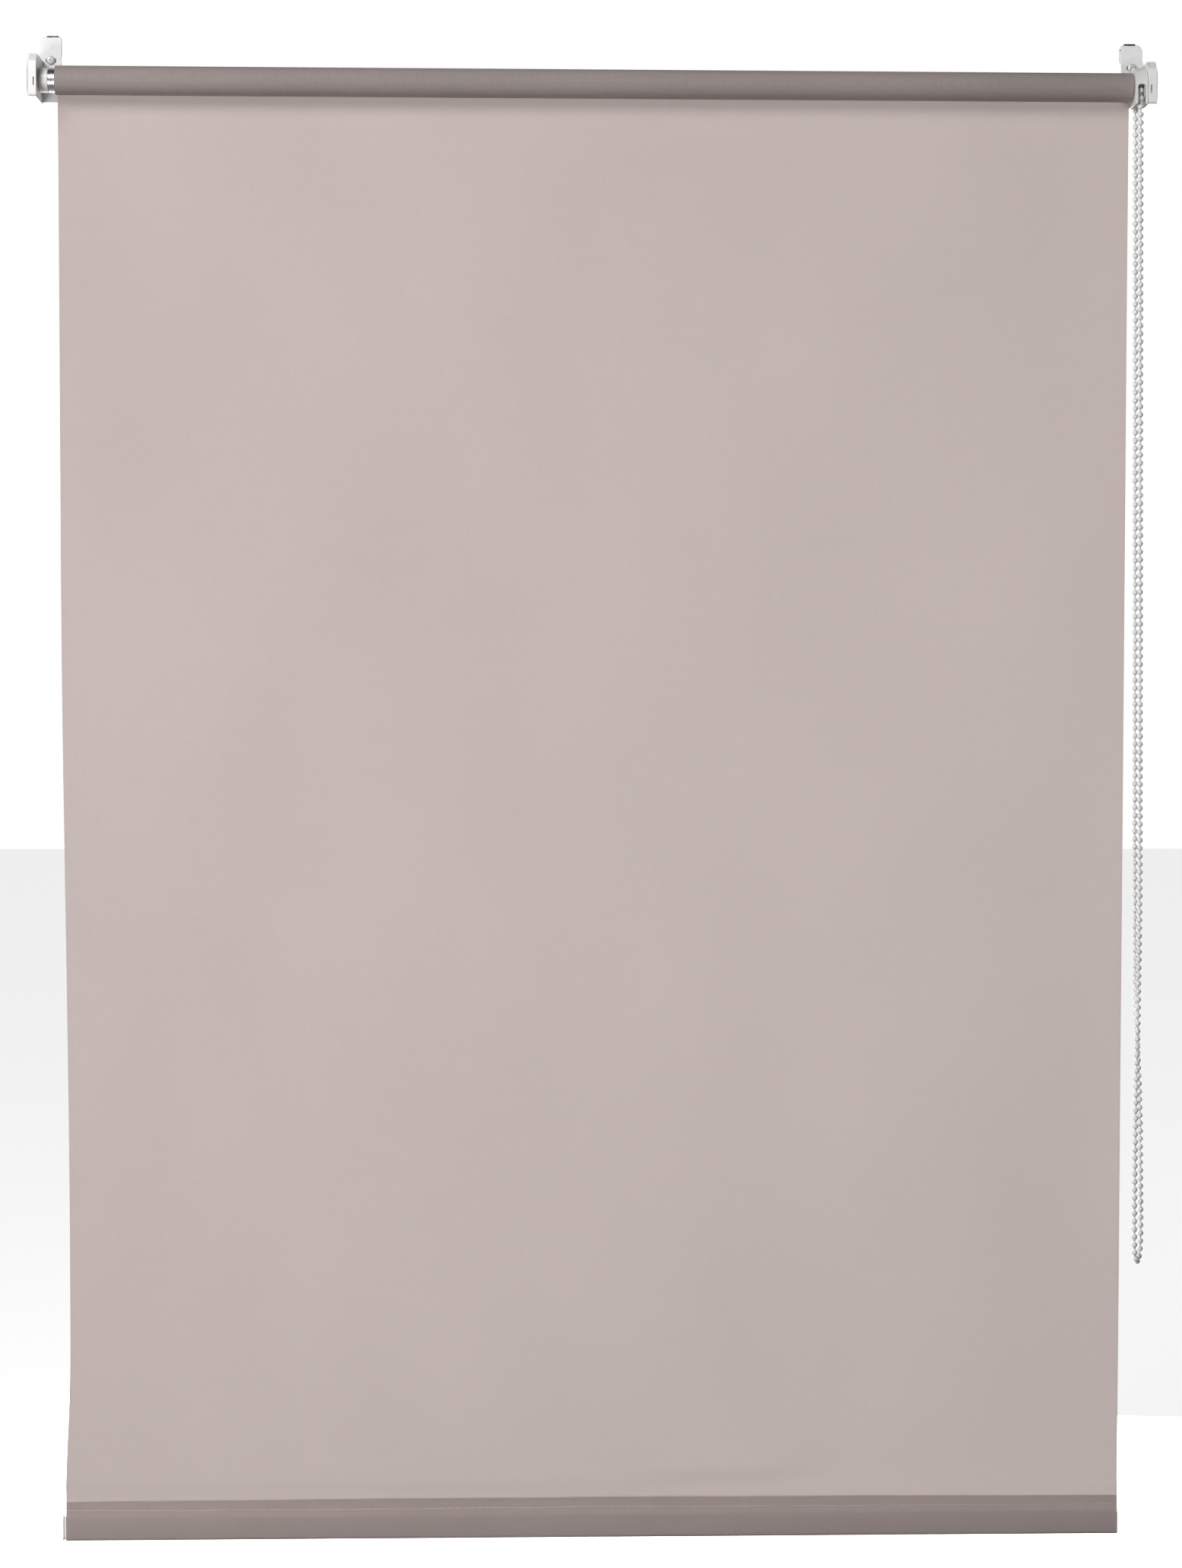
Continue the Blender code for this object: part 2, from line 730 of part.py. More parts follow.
def build_cover(side, label, materials, out, side_outline, bracket_front, fixed):
    """The domed cap that clips over the bracket's side plate, open to the plate and at the back."""
    back = bracket_front - GAP
    outline = side_outline(0, back)
    middle = ((back - COVER_FRONT) / 2, (COVER_TOP + COVER_BOTTOM) / 2)
    rim = out(PLATE_NEAR + COVER_RIM)
    levels = [(out(PLATE_NEAR), 1.0)]
    dome_steps = 6
    for step in range(dome_steps):
        angle = math.pi / 2 * step / dome_steps
        levels.append((rim + side * COVER_DOME * math.sin(angle), math.cos(angle) ** COVER_DOME_POWER))
    data = bmesh.new()
    rings = []
    for x, scale in levels:
        ring = [
            data.verts.new((x, middle[0] + (u - middle[0]) * scale, middle[1] + (v - middle[1]) * scale))
            for u, v in outline
        ]
        rings.append(ring)
    count = len(outline)
    for lower, upper in zip(rings, rings[1:]):
        for i in range(count):
            j = (i + 1) % count
            data.faces.new((lower[i], lower[j], upper[j], upper[i]))
    data.faces.new(rings[0])
    data.faces.new(rings[-1])
    cover = finish(f"cover_{label}", data, materials["plastic"], fixed)
    hollow = prism(
        f"cover_hollow_cutter_{label}",
        side_outline(COVER_WALL, back + CUT_SPARE),
        "YZ",
        out(PLATE_NEAR - CUT_SPARE),
        out(PLATE_NEAR + COVER_HOLLOW),
        None,
        fixed,
    )
    combine(cover, hollow, "DIFFERENCE")
    slit_wide, slit_tall = COVER_SLIT
    slit_middle = out(PLATE_NEAR + PLATE_THICK)
    slit = prism(
        f"cover_slit_cutter_{label}",
        rounded_rectangle(
            (slit_middle - slit_wide / 2, -COVER_SLIT_DROP - slit_tall / 2),
            (slit_middle + slit_wide / 2, -COVER_SLIT_DROP + slit_tall / 2),
            [slit_wide * 0.3] * 4,
            2,
        ),
        "XZ",
        -COVER_FRONT - CUT_SPARE,
        -COVER_FRONT + COVER_WALL + GAP / 3,
        None,
        fixed,
    )
    combine(cover, slit, "DIFFERENCE")


def main():
    for obj in list(bpy.data.objects):
        bpy.data.objects.remove(obj, do_unlink=True)
    materials = {
        "fabric": make_material("fabric", (0.50, 0.44, 0.42), 0.85),
        "plastic": make_material("plastic", (0.80, 0.80, 0.78), 0.40),
        "aluminium": make_material("aluminium", (0.70, 0.70, 0.70), 0.35, 1.0),
        "steel": make_material("steel", (0.75, 0.75, 0.74), 0.35, 0.3),
        "foam": make_material("foam", (0.60, 0.60, 0.58), 0.95),
    }
    fixed = make_empty("fixed_frame", (0, AXIS_Y, AXIS_Z))
    roll = make_empty("roll_axis", (0, AXIS_Y, AXIS_Z))
    curtain = make_empty("sheet_top", (0, SHEET_Y, AXIS_Z))
    bar = make_empty("hem_top", (0, SHEET_Y, HEM_TOP))
    build_tube_and_fabric(materials, roll, curtain, bar)
    build_idle_end(materials, roll)
    build_drive_end(materials, roll, fixed)
    build_bracket(-1, "left", materials, PIN_R + 2 * GAP, fixed)
    build_bracket(1, "right", materials, AXLE_STUB_R + GAP, fixed)
    tube_curve("bead_chain", smooth_line(CHAIN_ROUTE, CHAIN_POINTS), BEAD_R, materials["plastic"])


main()
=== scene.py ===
"""Looks of a clip-on mini roller blind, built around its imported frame.

Frame: +X to the right, +Y back to the window, +Z up, metres. The blind hangs by two hooks on the top edge
of a window sash. Its sheet is let down; a bead chain on the right turns the roll.
"""

from __future__ import annotations

import json
import logging
import math
from collections.abc import Callable, Sequence
from dataclasses import dataclass
from enum import Enum

import bmesh
import bpy
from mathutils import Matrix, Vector

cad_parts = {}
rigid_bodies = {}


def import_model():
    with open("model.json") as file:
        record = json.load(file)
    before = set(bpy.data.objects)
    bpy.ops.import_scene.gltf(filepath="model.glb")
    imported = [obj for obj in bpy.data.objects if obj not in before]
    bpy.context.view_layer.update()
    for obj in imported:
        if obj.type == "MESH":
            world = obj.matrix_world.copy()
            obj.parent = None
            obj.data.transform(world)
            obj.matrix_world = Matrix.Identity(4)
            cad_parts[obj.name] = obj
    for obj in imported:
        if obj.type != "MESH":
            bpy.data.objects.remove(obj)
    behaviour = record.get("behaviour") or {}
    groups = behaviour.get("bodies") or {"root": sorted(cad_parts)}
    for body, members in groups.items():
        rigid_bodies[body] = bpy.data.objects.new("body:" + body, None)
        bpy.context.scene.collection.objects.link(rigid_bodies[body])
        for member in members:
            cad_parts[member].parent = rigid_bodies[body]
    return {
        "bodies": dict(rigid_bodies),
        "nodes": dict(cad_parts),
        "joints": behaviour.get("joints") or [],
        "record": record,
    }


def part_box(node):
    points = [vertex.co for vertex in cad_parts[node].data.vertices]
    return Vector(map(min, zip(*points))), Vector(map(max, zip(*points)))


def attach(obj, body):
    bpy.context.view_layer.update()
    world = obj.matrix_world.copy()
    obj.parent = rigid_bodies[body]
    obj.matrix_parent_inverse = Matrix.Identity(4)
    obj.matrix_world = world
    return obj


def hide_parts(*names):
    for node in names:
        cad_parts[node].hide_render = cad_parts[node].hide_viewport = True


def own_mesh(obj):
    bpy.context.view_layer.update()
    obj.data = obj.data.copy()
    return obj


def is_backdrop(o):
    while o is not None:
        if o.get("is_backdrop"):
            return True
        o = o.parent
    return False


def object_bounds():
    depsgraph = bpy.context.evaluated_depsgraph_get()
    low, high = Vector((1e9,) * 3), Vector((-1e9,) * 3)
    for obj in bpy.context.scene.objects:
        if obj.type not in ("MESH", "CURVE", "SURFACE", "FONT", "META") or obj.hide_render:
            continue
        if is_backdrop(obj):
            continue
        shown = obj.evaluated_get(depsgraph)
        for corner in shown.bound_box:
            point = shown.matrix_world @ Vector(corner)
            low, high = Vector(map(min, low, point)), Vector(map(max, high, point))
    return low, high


LOG = logging.getLogger("roller_blind")

# The free loop of the bead chain, from the wheel's front side down, round and up to its back side.
CHAIN_ROUTE = [
    (0.4060, -0.03215, -0.0363),
    (0.4060, -0.03215, -0.0560),
    (0.4064, -0.03215, -0.1060),
    (0.4071, -0.03215, -0.1960),
    (0.4080, -0.03215, -0.3160),
    (0.4090, -0.03215, -0.4360),
    (0.4099, -0.03215, -0.5560),
    (0.4104, -0.03215, -0.6360),
    (0.4100, -0.03205, -0.7160),
    (0.4091, -0.03160, -0.7960),
    (0.4088, -0.03125, -0.8560),
    (0.4089, -0.03115, -0.8960),
    (0.4098, -0.02930, -0.9120),
    (0.4130, -0.02260, -0.9185),
    (0.4162, -0.01590, -0.9120),
    (0.4171, -0.01405, -0.8960),
    (0.4166, -0.01395, -0.8560),
    (0.4155, -0.01360, -0.7960),
    (0.4118, -0.01315, -0.7160),
    (0.4106, -0.01305, -0.6360),
    (0.4099, -0.01305, -0.5560),
    (0.4090, -0.01305, -0.4360),
    (0.4080, -0.01305, -0.3160),
    (0.4071, -0.01305, -0.1960),
    (0.4064, -0.01305, -0.1060),
    (0.4060, -0.01305, -0.0560),
    (0.4060, -0.01305, -0.0363),
]

Colour = tuple[float, float, float]
Point = tuple[float, float, float]


class Side(Enum):
    """An end of the blind, as seen from the room."""

    LEFT = -1
    RIGHT = 1

    @property
    def word(self) -> str:
        """The end's name as its pieces carry it."""
        return self.name.lower()


class Layers(Enum):
    """How many layers of cloth lie on each other, which settles how much light comes through."""

    SINGLE = "single"
    WOUND = "wound"


class Pattern(Enum):
    """What a finish's pattern is laid out on."""

    CLOTH = "UV"
    SPACE = "Object"


class Value:
    """A number socket that adds Math nodes when Python's operators are used on it."""

    def __init__(self, work: NodeWork, socket: bpy.types.NodeSocket) -> None:
        """Keeps the socket and the tree that it belongs to."""
        self.work = work
        self.socket = socket

    def maths(self, operation: str, *others: Value | float, swap: bool = False) -> Value:
        """Adds one Math node.

        Args:
            operation: the node's operation.
            others: the further operands.
            swap: puts this value last.

        Returns:
            The node's result.
        """
        operands = [self, *others]
        if swap:
            operands.reverse()
        made = self.work.node("ShaderNodeMath", {"operation": operation}, dict(enumerate(operands)))
        return Value(self.work, made.outputs[0])

    def __add__(self, other: Value | float) -> Value:
        """Sum."""
        return self.maths("ADD", other)

    def __radd__(self, other: float) -> Value:
        """Sum with a number on the left."""
        return self.maths("ADD", other)

    def __sub__(self, other: Value | float) -> Value:
        """Difference."""
        return self.maths("SUBTRACT", other)

    def __rsub__(self, other: float) -> Value:
        """Difference from a number on the left."""
        return self.maths("SUBTRACT", other, swap=True)

    def __mul__(self, other: Value | float) -> Value:
        """Product."""
        return self.maths("MULTIPLY", other)

    def __rmul__(self, other: float) -> Value:
        """Product with a number on the left."""
        return self.maths("MULTIPLY", other)

    def sine(self) -> Value:
        """Sine of the value in radians."""
        return self.maths("SINE")

    def rising(self, low: float, high: float) -> Value:
        """Smooth step from 0 at low to 1 at high.

        Args:
            low: where the step starts.
            high: where it ends.

        Returns:
            The step's value.
        """
        made = self.work.node(
            "ShaderNodeMapRange",
            {"interpolation_type": "SMOOTHSTEP"},
            {"Value": self, "From Min": low, "From Max": high},
        )
        return Value(self.work, made.outputs["Result"])


class NodeWork:
    """Adds nodes to one tree of any kind."""

    def __init__(self, tree: bpy.types.NodeTree) -> None:
        """Starts on an empty tree."""
        self.tree = tree
        tree.nodes.clear()

    def node(self, kind: str, settings: dict | None = None, inputs: dict | None = None) -> bpy.types.Node:
        """Adds one node.

        Args:
            kind: the node's type.
            settings: its properties, which are set first.
            inputs: values, sockets or Values for its inputs, by name or number.

        Returns:
            The node.
        """
        made = self.tree.nodes.new(kind)
        for name, setting in (settings or {}).items():
            setattr(made, name, setting)
        for key, given in (inputs or {}).items():
            given = given.socket if isinstance(given, Value) else given
            if isinstance(given, bpy.types.NodeSocket):
                self.tree.links.new(given, made.inputs[key])
            else:
                made.inputs[key].default_value = given
        return made


class MaterialWork(NodeWork):
    """A material in the making."""

    def __init__(self, name: str, pattern: Pattern) -> None:
        """Starts a material.

        Args:
            name: its name.
            pattern: what its pattern is laid out on.
        """
        self.material = bpy.data.materials.new(name)
        self.material.use_nodes = True
        super().__init__(self.material.node_tree)
        self.where = self.node("ShaderNodeTexCoord").outputs[pattern.value]

    def axes(self) -> tuple[Value, Value, Value]:
        """The pattern's three coordinates, in metres."""
        split = self.node("ShaderNodeSeparateXYZ", {}, {"Vector": self.where})
        return tuple(Value(self, split.outputs[name]) for name in "XYZ")

    def noise(self, grain: Sequence[float], detail: float = 2.0, rough: float = 0.5) -> Value:
        """Noise with a grain of its own size along each axis.

        Args:
            grain: the grain's size along each axis, in metres.
            detail: how many finer layers it has.
            rough: how strong the finer layers are.

        Returns:
            A number around 0.5.
        """
        scale = Vector([1.0 / size for size in grain])
        spread = self.node("ShaderNodeMapping", {}, {"Vector": self.where, "Scale": scale})
        made = self.node(
            "ShaderNodeTexNoise",
            {"noise_dimensions": "3D"},
            {"Vector": spread.outputs[0], "Scale": 1.0, "Detail": detail, "Roughness": rough},
        )
        return Value(self, made.outputs[0])

    def mixed(self, share: Value, low: Colour, high: Colour) -> bpy.types.NodeSocket:
        """A colour between two.

        Args:
            share: how far from the first to the second, 0 to 1.
            low: the first.
            high: the second.

        Returns:
            The colour.
        """
        colours = {6: (*low, 1.0), 7: (*high, 1.0)}
        settings = {"data_type": "RGBA", "clamp_factor": True}
        return self.node("ShaderNodeMix", settings, {"Factor": share, **colours}).outputs[2]

    def bump(self, height: Value, depth: float, strength: float = 1.0) -> bpy.types.NodeSocket:
        """A normal that stands for a height from 0 to 1, depth metres deep."""
        inputs = {"Strength": strength, "Distance": depth, "Height": height}
        return self.node("ShaderNodeBump", {}, inputs).outputs[0]

    def surface(self, inputs: dict) -> bpy.types.NodeSocket:
        """A Principled surface with these inputs."""
        return self.node("ShaderNodeBsdfPrincipled", {}, inputs).outputs[0]

    def lit_through(
        self, surface: bpy.types.NodeSocket, colour: Colour, share: Value | float
    ) -> bpy.types.NodeSocket:
        """A surface that light from behind shines through."""
        glow = self.node("ShaderNodeBsdfTranslucent", {}, {"Color": (*colour, 1.0)}).outputs[0]
        return self.node("ShaderNodeMixShader", {}, {0: share, 1: surface, 2: glow}).outputs[0]

    def finish(self, surface: bpy.types.NodeSocket) -> bpy.types.Material:
        """Wires the surface to the output and hands over the material."""
        self.node("ShaderNodeOutputMaterial", {}, {"Surface": surface})
        return self.material


@dataclass(frozen=True)
class ClothFinish:
    """Fine woven blind cloth with slubs along its length, light mauve taupe."""

    name: str
    layers: Layers
    dark: Colour = (0.360, 0.300, 0.288)
    light: Colour = (0.560, 0.484, 0.470)
    thread_pitch: float = 0.00042
    slub: tuple[float, float, float] = (0.0011, 0.0120, 1.0)
    fleck: tuple[float, float, float] = (0.0006, 0.0032, 1.0)
    pick: tuple[float, float, float] = (0.1200, 0.0022, 1.0)
    cloud: tuple[float, float, float] = (0.1400, 0.2400, 1.0)
    through: float = 0.44
    through_colour: Colour = (0.985, 0.930, 0.905)

    def material(self) -> bpy.types.Material:
        """Builds the material: woven threads, slubs, flecks, uneven picks and slow clouds.

        Returns:
            The material.
        """
        work = MaterialWork(self.name, Pattern.CLOTH)
        across, along, _ = work.axes()
        turn = 2 * math.pi / self.thread_pitch
        weave = (across * turn).sine() * (along * turn).sine()
        slub = work.noise(self.slub, 3.0, 0.6)
        fleck = work.noise(self.fleck, 2.0)
        pick = work.noise(self.pick, 1.0)
        cloud = work.noise(self.cloud, 1.0)
        thick = 0.5 + weave * 0.05 + (slub - 0.5) * 0.60 + (fleck - 0.5) * 0.45 + (pick - 0.5) * 0.20
        share = thick + (cloud - 0.5) * 0.40
        height = 0.5 + weave * 0.22 + (slub - 0.5) * 0.6 + (fleck - 0.5) * 0.4
        surface = work.surface(
            {
                "Base Color": work.mixed(share, self.dark, self.light),
                "Roughness": 0.95 - thick * 0.20,
                "Normal": work.bump(height, 0.00012, 0.5),
                "Specular IOR Level": 0.25,
                "Sheen Weight": 0.10,
                "Sheen Roughness": 0.5,
            }
        )
        if self.layers is Layers.SINGLE:
            through = self.through + 0.04 - thick * 0.08
            surface = work.lit_through(surface, self.through_colour, through)
        return work.finish(surface)


@dataclass(frozen=True)
class MouldedFinish:
    """Moulded plastic with faint flow marks, a little yellowing and fine scuffs."""

    name: str
    colour: Colour
    aged: Colour
    rough: float = 0.32
    coat: float = 0.15
    through: float = 0.0

    def material(self) -> bpy.types.Material:
        """Builds the material.

        Returns:
            The material.
        """
        work = MaterialWork(self.name, Pattern.SPACE)
        flow = work.noise((0.012, 0.006, 0.018), 2.0)
        scuff = work.noise((0.0016, 0.0005, 0.0030), 4.0, 0.65)
        grain = work.noise((0.0003, 0.0003, 0.0003), 1.0)
        age = flow.rising(0.35, 0.75) * 0.7 + scuff.rising(0.60, 0.85) * 0.5
        surface = work.surface(
            {
                "Base Color": work.mixed(age, self.colour, self.aged),
                "Roughness": self.rough - 0.05 + scuff * 0.16,
                "Normal": work.bump(grain * 0.6 + scuff * 0.4, 0.00003, 0.5),
                "Coat Weight": self.coat,
                "Coat Roughness": 0.15,
            }
        )
        if self.through:
            surface = work.lit_through(surface, self.colour, self.through)
        return work.finish(surface)


@dataclass(frozen=True)
class MetalFinish:
    """Bare or painted metal with fine marks drawn along one axis."""

    name: str
    colour: Colour
    worn: Colour
    metallic: float
    rough: float
    drawn: tuple[float, float, float]

    def material(self) -> bpy.types.Material:
        """Builds the material.

        Returns:
            The material.
        """
        work = MaterialWork(self.name, Pattern.SPACE)
        line = work.noise(self.drawn, 3.0, 0.6)
        spot = work.noise((0.009, 0.009, 0.009), 3.0)
        wear = line.rising(0.35, 0.70) * 0.6 + spot.rising(0.55, 0.80) * 0.4
        surface = work.surface(
            {
                "Base Color": work.mixed(wear, self.colour, self.worn),
                "Metallic": self.metallic,
                "Roughness": self.rough - 0.06 + line * 0.18,
                "Normal": work.bump(line, 0.00003, 0.6),
            }
        )
        return work.finish(surface)


@dataclass(frozen=True)
class FoamFinish:
    """Closed-cell foam: small open pores on a cut face, each pore darkened with painted shade."""

    name: str
    colour: Colour = (0.62, 0.62, 0.60)
    pore: Colour = (0.36, 0.36, 0.35)
    pores: float = 2200.0  # to a metre

    def material(self) -> bpy.types.Material:
        """Builds the material.

        Returns:
            The material.
        """
        work = MaterialWork(self.name, Pattern.SPACE)
        spread = {"Vector": work.where, "Scale": self.pores}
        cells = work.node("ShaderNodeTexVoronoi", {"feature": "F1"}, spread)
        wall = Value(work, cells.outputs["Distance"]).rising(0.10, 0.55)
        surface = work.surface(
            {
                # Painted shade: the colour darkens towards each pore's middle, where the bump sinks it into a
                # pit.
                "Base Color": work.mixed(wall, self.pore, self.colour),
                "Roughness": 0.98 - wall * 0.10,
                "Normal": work.bump(wall, 0.00015, 0.8),
            }
        )
        return work.finish(surface)


class Palette:
    """The blind's finishes, each made once."""

    def __init__(self) -> None:
        """Makes every material."""
        self.cloth = ClothFinish("woven_cloth", Layers.SINGLE).material()
        self.wound_cloth = ClothFinish(
            "wound_cloth", Layers.WOUND, dark=(0.235, 0.195, 0.187), light=(0.365, 0.313, 0.304)
        ).material()
        self.moulding = MouldedFinish(
            "white_moulding", (0.870, 0.872, 0.862), (0.800, 0.796, 0.770)
        ).material()
        self.guard = MouldedFinish(
            "guard_moulding", (0.840, 0.842, 0.832), (0.770, 0.768, 0.745), rough=0.30, through=0.12
        ).material()
        self.bead = MouldedFinish(
            "bead_plastic", (0.880, 0.882, 0.875), (0.800, 0.798, 0.785), rough=0.22, coat=0.4, through=0.10
        ).material()
        self.inner = MouldedFinish(
            "grey_moulding", (0.66, 0.66, 0.65), (0.56, 0.56, 0.55), rough=0.42
        ).material()
        self.painted = MetalFinish(
            "painted_steel", (0.840, 0.845, 0.845), (0.760, 0.765, 0.765), 0.0, 0.34, (0.004, 0.004, 0.0006)
        ).material()
        self.steel = MetalFinish(
            "bright_steel", (0.62, 0.62, 0.61), (0.44, 0.44, 0.44), 1.0, 0.26, (0.0005, 0.004, 0.004)
        ).material()
        self.zinc = MetalFinish(
            "zinc_plate", (0.80, 0.80, 0.79), (0.66, 0.66, 0.65), 0.35, 0.42, (0.0006, 0.003, 0.003)
        ).material()
        self.aluminium = MetalFinish(
            "aluminium", (0.80, 0.80, 0.80), (0.60, 0.60, 0.60), 1.0, 0.24, (0.0004, 0.02, 0.02)
        ).material()
        self.foam = FoamFinish("pad_foam").material()
        self.thread = MouldedFinish(
            "sewing_thread", (0.70, 0.62, 0.57), (0.60, 0.52, 0.48), rough=0.60, coat=0.0
        ).material()


def show(name: str, mesh: bpy.types.Mesh, material: bpy.types.Material | None = None) -> bpy.types.Object:
    """Puts a mesh into the scene as an object at the origin.

    Args:
        name: the object's name.
        mesh: its mesh, in place.
        material: the finish, or None to keep the mesh's own.

    Returns:
        The object.
    """
    mesh.name = name
    if material is not None:
        mesh.materials.clear()
        mesh.materials.append(material)
    made = bpy.data.objects.new(name, mesh)
    bpy.context.scene.collection.objects.link(made)
    return made


def settled(obj: bpy.types.Object) -> bpy.types.Mesh:
    """Applies an object's modifiers and removes the object.

    Args:
        obj: the object.

    Returns:
        Its finished mesh.
    """
    graph = bpy.context.evaluated_depsgraph_get()
    mesh = bpy.data.meshes.new_from_object(obj.evaluated_get(graph), depsgraph=graph)
    bpy.data.objects.remove(obj, do_unlink=True)
    return mesh


def smooth_line(route: Sequence[Point], per_stretch: int) -> list[Point]:
    """Points on the Catmull-Rom curve through a route.

    Args:
        route: the route's own points.
        per_stretch: how many points lie between two of them.

    Returns:
        The curve's points, the route's first and last included.
    """
    padded = [route[0], *route, route[-1]]
    line = []
    for a, b, c, d in zip(padded, padded[1:], padded[2:], padded[3:]):
        for step in range(per_stretch):
            t = step / per_stretch
            place = []
            for p, q, r, s in zip(a, b, c, d):
                bend = (2 * p - 5 * q + 4 * r - s) * t**2 + (3 * q - p - 3 * r + s) * t**3
                place.append(0.5 * (2 * q + (r - p) * t + bend))
            line.append(tuple(place))
    return [*line, route[-1]]


def length_of(line: Sequence[Sequence[float]]) -> float:
    """Length of a line of points."""
    return sum(math.dist(a, b) for a, b in zip(line, line[1:]))


def arc(
    centre: Sequence[float], radius: float, start: float, end: float, steps: int
) -> list[tuple[float, float]]:
    """Points on a circle from start to end, in degrees."""
    turns = [math.radians(start + (end - start) * i / steps) for i in range(steps + 1)]
    return [(centre[0] + radius * math.cos(t), centre[1] + radius * math.sin(t)) for t in turns]


def filleted(corners: Sequence[tuple[float, float, float]], steps: int) -> list[tuple[float, float]]:
    """A closed outline with each corner rounded.

    Args:
        corners: each corner's two coordinates and its radius.
        steps: how many steps a rounding has.

    Returns:
        The outline's points.
    """
    outline = []
    for before, (u, v, radius), after in zip([corners[-1], *corners], corners, [*corners[1:], corners[0]]):
        here = Vector((u, v))
        back, ahead = (Vector(before[:2]) - here).normalized(), (Vector(after[:2]) - here).normalized()
        half = math.acos(max(-1.0, min(1.0, back.dot(ahead)))) / 2
        centre = here + (back + ahead).normalized() * radius / math.sin(half)
        start, end = here + back * radius / math.tan(half), here + ahead * radius / math.tan(half)
        first, last = start - centre, end - centre
        turn = first.angle_signed(last) if radius else 0.0
        for step in range(steps + 1):
            angle = -turn * step / steps
            across = first.x * math.cos(angle) - first.y * math.sin(angle)
            up = first.x * math.sin(angle) + first.y * math.cos(angle)
            outline.append((centre.x + across, centre.y + up))
    return outline


def box_corners(low: Sequence[float], high: Sequence[float], radii: Sequence[float]) -> list[Point]:
    """A rectangle's corners with their radii, from the lower left one round.

    Args:
        low: its lower left corner.
        high: its upper right corner.
        radii: the four radii.

    Returns:
        Each corner's two coordinates and its radius.
    """
    (left, bottom), (right, top) = low, high
    places = ((left, bottom), (right, bottom), (right, top), (left, top))
    return [(u, v, radius) for (u, v), radius in zip(places, radii)]


def band(
    data: bmesh.types.BMesh, lower: Sequence[bmesh.types.BMVert], upper: Sequence[bmesh.types.BMVert]
) -> None:
    """Adds the faces between two rings of corners.

    Args:
        data: the mesh data.
        lower: the first ring.
        upper: the second ring, of as many corners.
    """
    for i in range(len(lower)):
        j = (i + 1) % len(lower)
        data.faces.new((lower[i], lower[j], upper[j], upper[i]))


def prism(outline: Sequence[tuple[float, float]], plane: str, start: float, end: float) -> bpy.types.Object:
    """A straight solid over an outline.

    Args:
        outline: the points in the plane.
        plane: YZ or XZ.
        start: where it starts on the remaining axis.
        end: where it ends.

    Returns:
        The solid, as a scratch object.
    """
    data = bmesh.new()
    place = {"YZ": lambda u, v, w: (w, u, v), "XZ": lambda u, v, w: (u, w, v)}[plane]
    ends = [[data.verts.new(place(u, v, w)) for u, v in outline] for w in (start, end)]
    band(data, *ends)
    for ring in ends:
        data.faces.new(ring)
    bmesh.ops.recalc_face_normals(data, faces=data.faces)
    return scratch(data)


def scratch(data: bmesh.types.BMesh) -> bpy.types.Object:
    """Turns mesh data into a scratch object.

    Args:
        data: the mesh data, which is freed.

    Returns:
        The object.
    """
    mesh = bpy.data.meshes.new("scratch")
    data.to_mesh(mesh)
    data.free()
    return show("scratch", mesh)


def cut(solid: bpy.types.Object, cutters: Sequence[bpy.types.Object]) -> bpy.types.Object:
    """Cuts solids out of another one and removes the cutters.

    Args:
        solid: the scratch object that is cut.
        cutters: the solids that are cut out of it.

    Returns:
        What is left, as a scratch object.
    """
    for cutter in cutters:
        modifier = solid.modifiers.new("cut", "BOOLEAN")
        modifier.operation = "DIFFERENCE"
        modifier.solver = "EXACT"
        modifier.object = cutter
    made = show("scratch", settled(solid))
    for cutter in cutters:
        bpy.data.objects.remove(cutter, do_unlink=True)
    return made


def smoothed(mesh: bpy.types.Mesh, sharpest: float = 50.0) -> bpy.types.Mesh:
    """Shades a mesh smooth up to an angle.

    Args:
        mesh: the mesh.
        sharpest: steeper edges stay sharp, in degrees.

    Returns:
        The same mesh.
    """
    mesh.shade_smooth()
    mesh.set_sharp_from_angle(angle=math.radians(sharpest))
    return mesh


def ease_edges(
    solid: bpy.types.Object, edge: float, segments: int = 2, sharpest: float = 40.0
) -> bpy.types.Mesh:
    """Rounds a scratch object's edges over and shades it smooth.

    Args:
        solid: the scratch object, which is removed.
        edge: the rounding's width.
        segments: its steps.
        sharpest: edges under this angle stay as they are.

    Returns:
        The mesh.
    """
    round_over = solid.modifiers.new("edges", "BEVEL")
    round_over.width = edge
    round_over.segments = segments
    round_over.limit_method = "ANGLE"
    round_over.angle_limit = math.radians(sharpest)
    round_over.use_clamp_overlap = True
    even = show("scratch", smoothed(settled(solid), sharpest - 2))
    level = even.modifiers.new("even", "WEIGHTED_NORMAL")
    level.keep_sharp = True
    return settled(even)


def joined(parts: Sequence[bpy.types.Mesh]) -> bpy.types.Mesh:
    """Joins several meshes and keeps their shading.

    Args:
        parts: the meshes.

    Returns:
        One mesh.
    """
    pieces = [show("scratch", part) for part in parts]
    with bpy.context.temp_override(active_object=pieces[0], selected_editable_objects=pieces):
        bpy.ops.object.join()
    return settled(pieces[0])


def turned(
    profile: Sequence[tuple[float, float]], axis: str, centre: Sequence[float], sides: int
) -> bpy.types.Object:
    """A solid turned about an axis.

    Args:
        profile: closed line of (place on the axis, radius).
        axis: X or Y.
        centre: the axis's two other coordinates.
        sides: how many sides it has.

    Returns:
        The solid, as a scratch object.
    """
    place = {
        "X": lambda w, u, v: (w, centre[0] + u, centre[1] + v),
        "Y": lambda w, u, v: (centre[0] + u, w, centre[1] + v),
    }[axis]
    data = bmesh.new()
    rings = []
    for step in range(sides):
        turn = 2 * math.pi * step / sides
        rings.append([data.verts.new(place(w, r * math.cos(turn), r * math.sin(turn))) for w, r in profile])
    for here, after in zip(rings, [*rings[1:], rings[0]]):
        band(data, here, after)
    bmesh.ops.remove_doubles(data, verts=data.verts, dist=1e-7)
    bmesh.ops.recalc_face_normals(data, faces=data.faces)
    return scratch(data)


